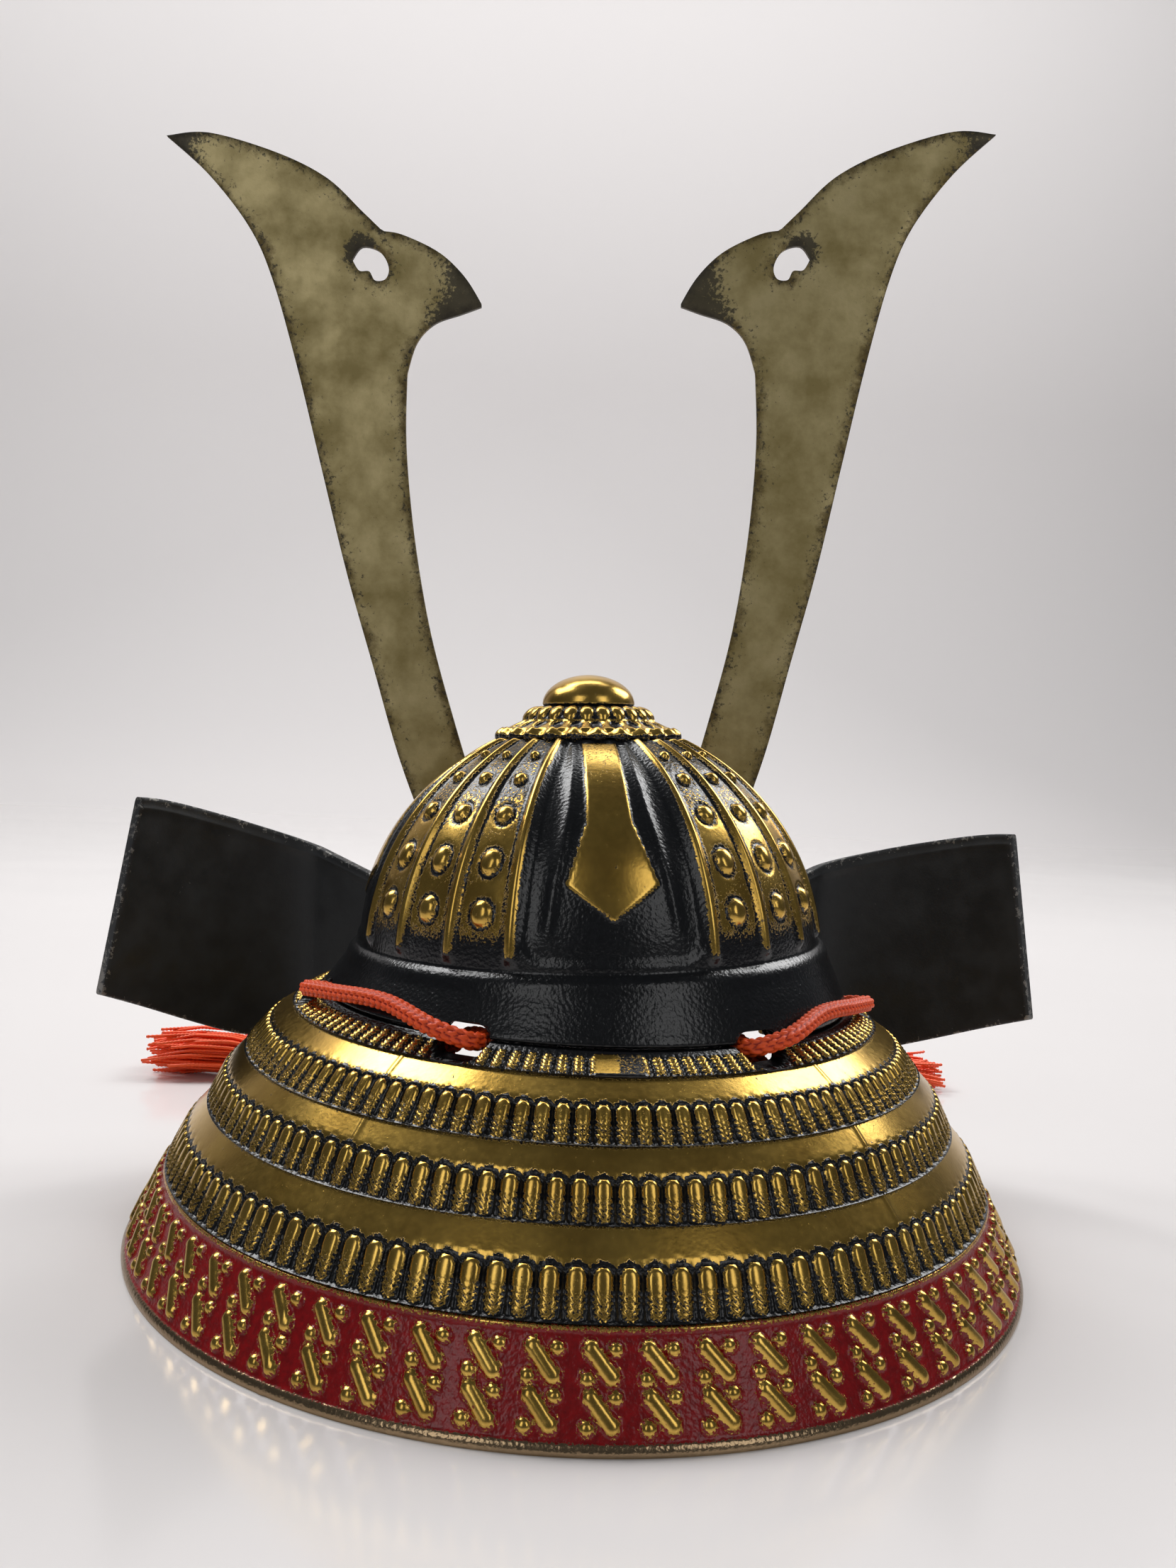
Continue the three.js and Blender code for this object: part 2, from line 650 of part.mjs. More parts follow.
// The two free ends, from the knot to their tassels
const TAIL_RIGHT = [
  { x: 3.7, y: 83.2, z: 2.8 },
  { x: 12, y: 89, z: 1.7 },
  { x: 27, y: 94, z: 1.7 },
  { x: 44, y: 96, z: 1.7 },
  { x: 58, y: 99.3, z: 1.7 },
  { x: 66, y: 102.1, z: 2.4 },
  { x: 70.6, y: 103.7, z: 3.6 },
];
const TAIL_LEFT = [
  { x: -3.7, y: 83.2, z: 2.8 },
  { x: -12, y: 89, z: 1.7 },
  { x: -25, y: 93.5, z: 1.7 },
  { x: -39, y: 94.5, z: 1.7 },
  { x: -50, y: 96, z: 1.7 },
  { x: -56.5, y: 97.9, z: 2.5 },
  { x: -61.1, y: 98.9, z: 3.6 },
];

function tube(name, points) {
  const path = new THREE.CatmullRomCurve3(points);
  const section = new THREE.Shape(Array.from({ length: CORD_SIDES }, (_, i) => {
    const angle = (2 * Math.PI * (i + 0.5)) / CORD_SIDES;
    return new THREE.Vector2(CORD_RADIUS * Math.cos(angle), CORD_RADIUS * Math.sin(angle));
  }));
  const steps = Math.round(path.getLength() / CORD_STEP);
  const options = { steps, extrudePath: path, bevelEnabled: false };
  return mesh(name, new THREE.ExtrudeGeometry(section, options), 'cord');
}

function makeCords() {
  const half = LOOP_ROUTE.map(({ azimuth, radius, height }) => polar(azimuth, radius, height));
  const left = half.slice(1).reverse().map((p) => new THREE.Vector3(-p.x, p.y, p.z));
  const toVectors = (list) => list.map(({ x, y, z }) => new THREE.Vector3(x, y, z));
  return [
    tube('chin_cord', [...left, ...half]),
    tube('tassel_cord_left', toVectors(TAIL_LEFT)),
    tube('tassel_cord_right', toVectors(TAIL_RIGHT)),
  ];
}

// A lump where the cord is tied, with a lobe towards each of its four cord ends
const KNOT_PLACE = 80;
const KNOT_HALF = { x: 4.9, y: 4.4, z: 3 };
const KNOT_SIDES = 20;
const KNOT_LOBE = 0.06;

function makeKnot() {
  const ring = (up) => Array.from({ length: KNOT_SIDES }, (_, i) => {
    const angle = (2 * Math.PI * i) / KNOT_SIDES;
    const reach = Math.sqrt(1 - up * up) * (1 - KNOT_LOBE * (1 + Math.cos(4 * angle)));
    const x = KNOT_HALF.x * reach * Math.cos(angle);
    const y = KNOT_HALF.y * reach * Math.sin(angle);
    return { at: i, point: new THREE.Vector3(x, y, KNOT_HALF.z * up) };
  });
  const foot = new THREE.Vector3(0, 0, -KNOT_HALF.z);
  const body = ringBody(foot, [-0.75, -0.35, 0, 0.35, 0.75].map(ring), new THREE.Vector3(0, 0, KNOT_HALF.z));
  body.translate(0, KNOT_PLACE, KNOT_HALF.z + FLOOR_CLEARANCE);
  return mesh('cord_knot', body, 'cord');
}

// Tassels lie on the floor: a bound head, then a skirt in locks that spreads and flattens
const TASSEL_SECTIONS = [
  { along: 0, halfWidth: 3.4, halfHeight: 3.4 },
  { along: 2, halfWidth: 4.6, halfHeight: 4.6 },
  { along: 6.5, halfWidth: 4.6, halfHeight: 4.6 },
  { along: 8.5, halfWidth: 3.6, halfHeight: 3.6 },
  { along: 12, halfWidth: 5.4, halfHeight: 5.2 },
  { along: 22, halfWidth: 8, halfHeight: 6.6 },
  { along: 32, halfWidth: 9.8, halfHeight: 7.2 },
  { along: 42, halfWidth: 10.8, halfHeight: 6.8 },
];
const LOCKS = 11;
const SKIRT_START = 12;
const LOCK_GROOVE = 0.86;
const RAGGED_END = 4;

// fullness below 1 flattens the skirt, as the threads have settled
function makeTassel(name, from, heading, fullness) {
  const rings = TASSEL_SECTIONS.map(({ along, halfWidth, halfHeight }, row) => {
    const isEnd = row === TASSEL_SECTIONS.length - 1;
    return Array.from({ length: 2 * LOCKS }, (_, i) => {
      const angle = (Math.PI * i) / LOCKS;
      const inGroove = i % 2 === 1;
      const scale = inGroove && along >= SKIRT_START ? LOCK_GROOVE : 1;
      const x = inGroove && isEnd ? along - RAGGED_END : along;
      const y = halfWidth * scale * Math.cos(angle);
      const z = halfHeight * (along >= SKIRT_START ? fullness : 1) * (scale * Math.sin(angle) + 1);
      return { at: i, point: new THREE.Vector3(x, y, z) };
    });
  });
  const first = TASSEL_SECTIONS[0];
  const last = TASSEL_SECTIONS[TASSEL_SECTIONS.length - 1];
  const start = new THREE.Vector3(first.along, 0, first.halfHeight);
  const body = ringBody(start, rings, new THREE.Vector3(last.along - 2, 0, last.halfHeight * fullness));
  body.rotateZ(Math.atan2(heading[1], heading[0]));
  body.translate(from[0], from[1], FLOOR_CLEARANCE);
  return mesh(name, body, 'cord');
}

// Assembly
const hornGroup = new THREE.Group();
hornGroup.add(makeHolder(), ...makeHorns());
hornGroup.position.x = HORN_OFFSET;
hornGroup.position.y = HORN_PLANE;
hornGroup.position.z = BAND_FOOT;
hornGroup.rotation.set(0, radians(HORN_LEAN), radians(HORN_TWIST), 'ZYX');
hornGroup.children.forEach((part) => part.position.set(0, -HORN_PLANE, -BAND_FOOT));

const wingRight = makeWing('turnback_right', WING_SPREAD);
const wingLeft = mesh('turnback_left', mirrored(makeWing('left', -WING_SPREAD).geometry), 'black');

const helmet = new THREE.Group();
helmet.add(makeBowl(), makeFinial(), makeNeckGuard(), makeVisor(), wingLeft, wingRight, hornGroup);
const middle = new THREE.Box3().setFromObject(helmet, true).getCenter(new THREE.Vector3());

const group = new THREE.Group();
group.add(helmet, ...makeCords(), makeKnot());
group.add(makeTassel('tassel_left', [-62, 99], [-40, 4], 1));
group.add(makeTassel('tassel_right', [71.5, 103.9], [40, 2.2], 0.68));
group.position.set(-middle.x, -middle.y, 0);

export default group;
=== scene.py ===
"""A small cast-metal samurai helmet with flat horns and a tasselled cord, dressed around its CAD model.

Sizes are worked out in millimetres around the bowl's upright axis and turned to metres as each mesh is made.
Azimuths are counted in degrees from the back of the helmet towards its right side.
"""

import math

import bpy
import numpy as np
from mathutils import Matrix, Vector
from mathutils.geometry import delaunay_2d_cdt


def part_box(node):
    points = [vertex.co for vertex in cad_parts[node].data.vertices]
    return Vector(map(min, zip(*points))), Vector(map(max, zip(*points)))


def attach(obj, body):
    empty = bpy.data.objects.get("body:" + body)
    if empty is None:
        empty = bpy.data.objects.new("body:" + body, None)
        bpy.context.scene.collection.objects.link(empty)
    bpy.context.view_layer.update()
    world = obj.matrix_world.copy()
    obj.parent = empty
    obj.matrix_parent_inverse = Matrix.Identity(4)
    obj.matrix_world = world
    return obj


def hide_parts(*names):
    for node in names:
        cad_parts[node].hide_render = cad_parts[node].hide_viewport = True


bl_info = {
    "name": "Samurai helmet",
    "version": (1, 0, 0),
    "blender": (4, 5, 0),
    "location": "3D View > Sidebar > Helmet",
    "description": "Builds a cast display helmet piece by piece around its CAD model",
    "category": "Object",
}

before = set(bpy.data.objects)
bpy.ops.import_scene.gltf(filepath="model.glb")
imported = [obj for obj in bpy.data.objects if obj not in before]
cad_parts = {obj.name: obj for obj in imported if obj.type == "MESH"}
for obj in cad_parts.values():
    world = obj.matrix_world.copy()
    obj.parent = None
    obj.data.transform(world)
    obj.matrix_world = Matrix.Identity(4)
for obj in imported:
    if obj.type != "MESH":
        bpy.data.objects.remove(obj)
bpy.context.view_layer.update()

MM = 0.001
RIM_RADIUS = 85.0
GUARD_LOW, GUARD_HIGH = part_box("neck_guard")
AXIS = np.array([(GUARD_LOW.x + GUARD_HIGH.x) / 2 / MM, GUARD_LOW.y / MM + RIM_RADIUS, 0.0])

# Bowl, as in the CAD model
BOWL_RADIUS, BOWL_HEIGHT, BOWL_BASE = 45.0, 44.0, 55.0
CAST_WALL = 3.0
BAND_FOOT, BAND_FOOT_RADIUS = 46.5, 51.0
CROWN_SEAT = 95.6
DOME_LEAN = -2.5
PANEL_HALF_ANGLE = 22.5
RIB_ANGLES = (22.5, 37.5)
STUD_ANGLES = (30.0, 45.0)
STUD_ROWS = (  # height, half width, half height
    (66.4, 1.9, 2.2),
    (74.8, 1.8, 2.3),
    (82.6, 1.5, 1.8),
    (88.5, 1.2, 1.4),
    (92.5, 0.9, 1.0),
)
PLATE_HEIGHTS = (65.6, 71.7, 81.7, 88.6, 95.0)
PLATE_HALF_WIDTHS = (0.1, 7.9, 4.0, 3.5, 3.2)

# Neck guard
GUARD_HALF_ANGLE = 122.0
LAMES = (  # radius and height of the top line, share of the slope that is plain band, pitch of the knots
    (51.0, 46.2, 0.1, 2.7),
    (56.3, 43.3, 0.38, 2.87),
    (64.7, 35.2, 0.37, 2.87),
    (70.9, 25.7, 0.38, 2.87),
    (77.8, 14.6, 0.0, 5.75),
    (85.0, 0.0, 0.0, 0.0),
)
HEM = 4  # the place of the red hem among the lames
SLOT_MIDDLE, SLOT_HEIGHT = 46.05, 4.9
SLOTS = ((28.4, 9.2), (79.2, 6.6))  # azimuth, width
SEAM_AZIMUTH = 37.0

# Wings: heights of the foot and the top at places along the wing
WING_PLACES = (0, 0.22, 0.34, 0.46, 0.58, 0.7, 0.82, 0.95, 1)
WING_FEET = (31, 34.4, 27.4, 26, 28.7, 31.6, 34.7, 37.8, 38.9)
WING_TOPS = (64, 68.4, 70.7, 72.8, 74.8, 76.5, 78.1, 79.4, 79.4)
WING_FLARE, WING_SPREAD, WING_FLARE_START, WING_FLARE_HEIGHT = 0.16, 1.5, 0.3, 60
# Plan of a wing: its foot, its bend, the two points that pull its curve, and its end
WING_PLAN = ((44.1, 29.4), (56.4, 37.1), (63.3, 41.1), (80.0, 36.5), (95.6, 15.8))

# Visor: half its angle, its root on the band, its lip, the height of its root and how far it falls
VISOR_HALF_ANGLE, VISOR_ROOT, VISOR_LIP, VISOR_HEIGHT, VISOR_FALL = 55, 50.5, 65, 48.5, 4.9
VISOR_SECTION = [  # share of the reach, lift
    (0, 0.0), (0.3, 0.0), (0.6, 0.0), (0.84, 0.0), (0.88, 0.1), (0.9, 0.45), (0.93, 0.62), (0.965, 0.62),
    (0.99, 0.35), (1.0, -0.1), (1.0, -1.7), (0.985, -2.1), (0.6, -2.2), (0.3, -2.2), (0.0, -2.2),
]

# Horns and their holder
HORN_THICKNESS, HOLDER_THICKNESS, HORN_PLANE = 1.2, 4.8, 52.4
HORN_OFFSET, HORN_LEAN, HORN_TWIST = 4.4, -2.8, -6.0
HORN_OUTLINE = (
    [(-97.5, 237.6), (-87.5, 238.3), (-71.7, 233.7), (-59.9, 227.8), (-51.5, 219.9), (-46.8, 215.4)],
    [(-42, 214.5), (-33.5, 210.4), (-27.4, 204.6), (-23.2, 197.8)],
    [(-28.2, 196), (-34.5, 193.8), (-38.8, 189.4), (-41.2, 182.1)],
    [(-41.5, 165.2), (-39.7, 143.9), (-36, 121.4), (-30.7, 101.1), (-25.6, 84), (-21, 70)],
    [(-17.5, 60)],
    [(-31.5, 60)],
    [(-36.2, 71), (-43.6, 91.4), (-49.6, 112.9), (-55.8, 135.3), (-61.6, 159.9), (-67.3, 184.1),
     (-72.9, 204.3), (-78.2, 216.3), (-87.6, 228.6), (-97.5, 237.6)],
)
HORN_HOLE = [
    (-54, 208.8), (-52.4, 206.2), (-50, 206), (-48.7, 203.9),
    (-46.2, 204.2), (-45.4, 206.9), (-47.4, 210.6), (-51.6, 211.7),
]
HORN_TIPS = ((-97.5, 237.6), (-23.2, 197.8))
HORN_THROAT = (-52.5, 211.6)
HOLDER_BOSS = (0, 61.5)
HOLDER_OUTLINE = [
    (-8, 49), (-20, 50.5), (-34, 55), (-37, 60), (-38.5, 68),
    (-33, 72.5), (-22, 73), (-12, 70), (-8, 76), (0, 80),
]
POCKET = [(-17.1, 59.6), (-31.9, 59.6), (-36.7, 71.2), (-41.9, 86), (-25, 86), (-20.6, 71)]

# Half of the cord's loop, from the back's middle to the knot: azimuth, radius, height
LOOP_ROUTE = (
    (0, 46, 27.8), (20, 46, 28.6), (36, 44.8, 31), (42.5, 43.4, 37.5), (34, 42.6, 44.2),
    (26.4, 46, 45.5), (26.2, 52.2, 46.3), (32, 54.4, 48), (46, 51.9, 49.9), (63, 52.8, 48.9),
    (75.6, 54.4, 47.4), (79.8, 49.4, 45.9), (80.5, 44.2, 41), (83, 43.4, 28), (87, 43, 14),
    (100, 41.2, 3.2), (118, 41.5, 1.7), (142, 50, 1.7), (163, 66, 1.8), (177.3, 76.9, 2.8),
)
TAIL_RIGHT = (
    (3.7, 83.2, 2.8), (12, 89, 1.7), (27, 94, 1.7), (44, 96, 1.7),
    (58, 99.3, 1.7), (66, 102.1, 2.4), (70.6, 103.7, 3.6),
)
TAIL_LEFT = (
    (-3.7, 83.2, 2.8), (-12, 89, 1.7), (-25, 93.5, 1.7), (-39, 94.5, 1.7),
    (-50, 96, 1.7), (-56.5, 97.9, 2.5), (-61.1, 98.9, 3.6),
)
KNOT_PLACE, KNOT_HALF_HEIGHT = 80.0, 3.0
TASSELS = (  # name, the CAD place of the head, the way the threads point, and how full the skirt is
    ("tassel_left", (-62.0, 99.0), (-40.0, 4.0), 1.0),
    ("tassel_right", (71.5, 103.9), (40.0, 2.2), 0.68),
)
TASSEL_SECTIONS = (  # along, half width, half height
    (0, 3.2, 3.2), (2, 4.4, 4.4), (6.5, 4.4, 4.4), (8.5, 3.4, 3.4), (12, 5.2, 5.0),
    (22, 7.8, 6.4), (32, 9.6, 7.0), (42, 10.6, 6.6), (46, 11.0, 6.4),
)
SKIRT_SECTION = 4  # the first section of the tassel's skirt
THREAD_RADIUS = 0.38
FLOOR_CLEARANCE = 0.1

# Camera: its place in millimetres about the bowl's axis, and its pan, tilt and roll in degrees
CAMERA_PLACE, CAMERA_ANGLES = (-27.46, -247.9, 94.8), (6.0, 1.86, 2.79)
LIGHTS = (  # name, place, aim, size, setting of its power
    ("softbox_left", (-0.46, 0.36, 0.80), (0, 0, 0.05), (0.5, 0.45), "key_power"),
    ("softbox_right", (0.64, 0.40, 0.68), (0, 0, 0.05), (0.5, 0.45), "key_power"),
    ("side_light_left", (-0.38, -0.6, 0.45), (0, 0, 0.05), (0.25, 0.5), "side_power"),
    ("side_light_right", (0.38, -0.6, 0.45), (0, 0, 0.05), (0.25, 0.5), "side_power"),
    ("backdrop_light", (0, 0.75, 1.5), (0, 1.5, 0.3), (2.4, 0.5), "backdrop_power"),
)


def linear(code):
    """An sRGB hex colour as a linear RGBA tuple."""
    channels = [int(code[i : i + 2], 16) / 255 for i in (0, 2, 4)]
    return tuple(c / 12.92 if c <= 0.04045 else ((c + 0.055) / 1.055) ** 2.4 for c in channels) + (1.0,)


class HelmetSizes(bpy.types.PropertyGroup):
    """Sizes of the relief, the cord and the tassels"""

    rib_height: bpy.props.FloatProperty(
        name="Rib height", description="How far the ribs of the bowl stand out",
        default=0.0009, unit="LENGTH")
    stud_rise: bpy.props.FloatProperty(
        name="Stud rise", description="How far the studs stand out", default=0.0010, unit="LENGTH")
    knot_rise: bpy.props.FloatProperty(
        name="Lacing rise", description="How far the lacing stands out of its row",
        default=0.0008, unit="LENGTH")
    stitch_rise: bpy.props.FloatProperty(
        name="Stitch rise", description="How far the stitches of the hem stand out",
        default=0.0009, unit="LENGTH")
    cord_diameter: bpy.props.FloatProperty(
        name="Cord diameter", description="Thickness of the braided cord", default=0.003, unit="LENGTH")
    braid_pitch: bpy.props.FloatProperty(
        name="Braid pitch", description="Length of one strand bump along the cord",
        default=0.0016, unit="LENGTH")
    threads: bpy.props.IntProperty(
        name="Tassel threads", description="Number of threads in each tassel", default=140, min=20, max=400)


class HelmetColours(bpy.types.PropertyGroup):
    """Colours of the helmet's finishes"""

    gold: bpy.props.FloatVectorProperty(
        name="Gold", description="Gold rubbed over the relief",
        size=4, subtype="COLOR", default=linear("DDB55C"))
    lacquer: bpy.props.FloatVectorProperty(
        name="Black lacquer", description="Ground coat of the castings", size=4, subtype="COLOR",
        default=linear("0C0D0F"))
    crimson: bpy.props.FloatVectorProperty(
        name="Crimson", description="Lacquer on the hem", size=4, subtype="COLOR", default=linear("990C10"))
    brass: bpy.props.FloatVectorProperty(
        name="Brass", description="Plate of the horns", size=4, subtype="COLOR", default=linear("C4B484"))
    tarnish: bpy.props.FloatVectorProperty(
        name="Tarnish", description="Brown bloom along the horns' edges", size=4, subtype="COLOR",
        default=linear("5A4A28"))
    cord: bpy.props.FloatVectorProperty(
        name="Cord", description="Rayon of the cord and tassels",
        size=4, subtype="COLOR", default=linear("FF5618"))


class HelmetStudio(bpy.types.PropertyGroup):
    """Camera, floor and light"""

    lens: bpy.props.FloatProperty(
        name="Lens", description="Focal length for a 36 mm frame, held upright",
        default=28.985, min=10, max=200)
    floor: bpy.props.FloatVectorProperty(
        name="Floor", description="Colour of the table and backdrop", size=4, subtype="COLOR",
        default=linear("E8E4E3"))
    key_power: bpy.props.FloatProperty(
        name="Softbox power", description="Power of each overhead softbox", default=4.8, unit="POWER")
    side_power: bpy.props.FloatProperty(
        name="Side power", description="Power of each weak light beside the camera",
        default=0.6, unit="POWER")
    backdrop_power: bpy.props.FloatProperty(
        name="Backdrop power", description="Power of the light on the backdrop", default=17.0, unit="POWER")
    surround: bpy.props.FloatProperty(
        name="Surround", description="Strength of the room's grey light", default=0.11, min=0, max=5)


def sizes():
    return bpy.context.scene.helmet_sizes


def colours():
    return bpy.context.scene.helmet_colours


# Small tools for shapes
def smooth(low, high, value):
    """Rises smoothly from 0 at low to 1 at high."""
    share = np.clip((np.asarray(value, float) - low) / (high - low), 0, 1)
    return share * share * (3 - 2 * share)


def line_bump(distance, width):
    """1 on a line, falling to nothing about two widths away from it."""
    return np.exp(-((distance / width) ** 2))


def half_round(distance):
    """The height of a half-round form: 1 in its middle and 0 from its edge, at distance 1, outward."""
    return np.sqrt(np.clip(1 - distance**2, 0, 1))


def polar(azimuth, radius, height):
    angle = np.radians(azimuth)
    parts = np.broadcast_arrays(radius * np.sin(angle), -radius * np.cos(angle), height)
    return np.stack(parts, axis=-1)


def resample(points, step):
    """Points a step apart along a line."""
    points = np.asarray(points, float)
    along = np.concatenate([[0], np.cumsum(np.linalg.norm(np.diff(points, axis=0), axis=1))])
    places = np.linspace(0, along[-1], max(2, round(along[-1] / step) + 1))
    return np.stack([np.interp(places, along, points[:, k]) for k in range(points.shape[1])], axis=-1)


def softened(points, passes):
    """A line with its corners rounded, its ends kept."""
    points = np.array(points, float)
    for _ in range(passes):
        points[1:-1] = (points[:-2] + 2 * points[1:-1] + points[2:]) / 4
    return points


def grid_faces(rows, columns, close_rows=False, close_columns=False):
    """Quads over a grid of points that is stored row by row."""
    row = np.arange(rows if close_rows else rows - 1)[:, None]
    column = np.arange(columns if close_columns else columns - 1)[None, :]
    next_row, next_column = (row + 1) % rows, (column + 1) % columns
    corners = [row * columns + column, row * columns + next_column,
               next_row * columns + next_column, next_row * columns + column]
    return np.stack(corners, axis=-1).reshape(-1, 4).tolist()


def swept_faces(rows, columns):
    """A closed section, one point per row, swept along the columns, with both ends closed."""
    first = [row * columns for row in range(rows)]
    last = [row * columns + columns - 1 for row in reversed(range(rows))]
    return grid_faces(rows, columns, close_rows=True) + [first, last]


def turned_faces(rows, columns):
    """Rings of points, one per row, with both end rings closed."""
    last = (rows - 1) * columns
    ends = [list(range(columns))[::-1], [last + i for i in range(columns)]]
    return grid_faces(rows, columns, close_columns=True) + ends


def add_mesh(name, points, faces, material, masks=None, crisp=None):
    """A mesh object from points in millimetres about the bowl's axis, with its faces turned outward."""
    mesh = bpy.data.meshes.new(name)
    placed = (np.asarray(points, float).reshape(-1, 3) + AXIS) * MM
    mesh.from_pydata(placed.tolist(), [], faces)
    mesh.calc_loop_triangles()
    corners = np.zeros(len(mesh.loop_triangles) * 3, np.int32)
    mesh.loop_triangles.foreach_get("vertices", corners)
    a, b, c = (placed - placed.mean(0))[corners.reshape(-1, 3)].transpose(1, 0, 2)
    if np.einsum("ij,ij->i", a, np.cross(b, c)).sum() < 0:
        mesh.flip_normals()
    mesh.shade_smooth()
    if crisp:
        mesh.set_sharp_from_angle(angle=math.radians(crisp))
    for key, values in (masks or {}).items():
        attribute = mesh.attributes.new(key, "FLOAT", "POINT")
        attribute.data.foreach_set("value", np.asarray(values, np.float32).ravel())
    mesh.materials.append(material)
    piece = bpy.data.objects.new(name, mesh)
    bpy.context.scene.collection.objects.link(piece)
    return piece


def settle(piece, slot, *nodes):
    """The piece rides on the helmet and stands for its CAD nodes, which it hides; the slot is not used."""
    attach(piece, "root")
    if nodes:
        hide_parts(*nodes)
    return piece


def cut(piece, cutters):
    """Takes the cutters out of the piece and removes them."""
    for cutter in cutters:
        step = piece.modifiers.new("cut", "BOOLEAN")
        step.operation = "DIFFERENCE"
        step.solver = "MANIFOLD"
        step.object = cutter
    evaluated = piece.evaluated_get(bpy.context.evaluated_depsgraph_get())
    mesh = bpy.data.meshes.new_from_object(evaluated)
    if len(mesh.polygons) < 100:
        raise RuntimeError(f"cutting {piece.name} left nothing of it")
    piece.modifiers.clear()
    piece.data = mesh
    for cutter in cutters:
        bpy.data.objects.remove(cutter)


def slot_cutters():
    """Round-ended bars where the cord passes through the casting."""
    end = SLOT_HEIGHT / 2
    turn = np.radians(np.linspace(-90, 90, 13))
    cutters = []
    for azimuth, width in SLOTS:
        right = np.stack([width / 2 - end + end * np.cos(turn), SLOT_MIDDLE + end * np.sin(turn)], axis=-1)
        left = right * (-1, 1)
        outline = np.concatenate([right, left[::-1]])
        for side in (1, -1):
            angle = np.radians(side * azimuth)
            ends = []
            for reach in (40.0, 64.0):
                x = outline[:, 0] * np.cos(angle) + reach * np.sin(angle)
                y = outline[:, 0] * np.sin(angle) - reach * np.cos(angle)
                ends.append(np.stack([x, y, outline[:, 1]], axis=-1))
            count = len(outline)
            cutters.append(add_mesh("cord_slot_cutter", np.concatenate(ends), turned_faces(2, count), None))
    return cutters


# Materials
def add_node(tree, kind, inputs=None, **settings):
    """Adds a node with its settings, and sets or links its inputs."""
    node = tree.nodes.new(kind)
    for key, value in settings.items():
        setattr(node, key, value)
    for key, value in (inputs or {}).items():
        if isinstance(value, bpy.types.NodeSocket):
            tree.links.new(value, node.inputs[key])
        else:
            node.inputs[key].default_value = value
    return node


def new_material(name):
    """An empty material with its shader, ready to be linked."""
    material = bpy.data.materials.new(name)
    material.use_nodes = True
    tree = material.node_tree
    tree.nodes.clear()
    shader = add_node(tree, "ShaderNodeBsdfPrincipled")
    add_node(tree, "ShaderNodeOutputMaterial", {"Surface": shader.outputs["BSDF"]})
    place = add_node(tree, "ShaderNodeTexCoord").outputs["Object"]
    return material, tree, shader, place


def link_inputs(tree, shader, sockets):
    """Links the shader's inputs, by name, to the sockets that drive them."""
    for key, value in sockets.items():
        tree.links.new(value, shader.inputs[key])


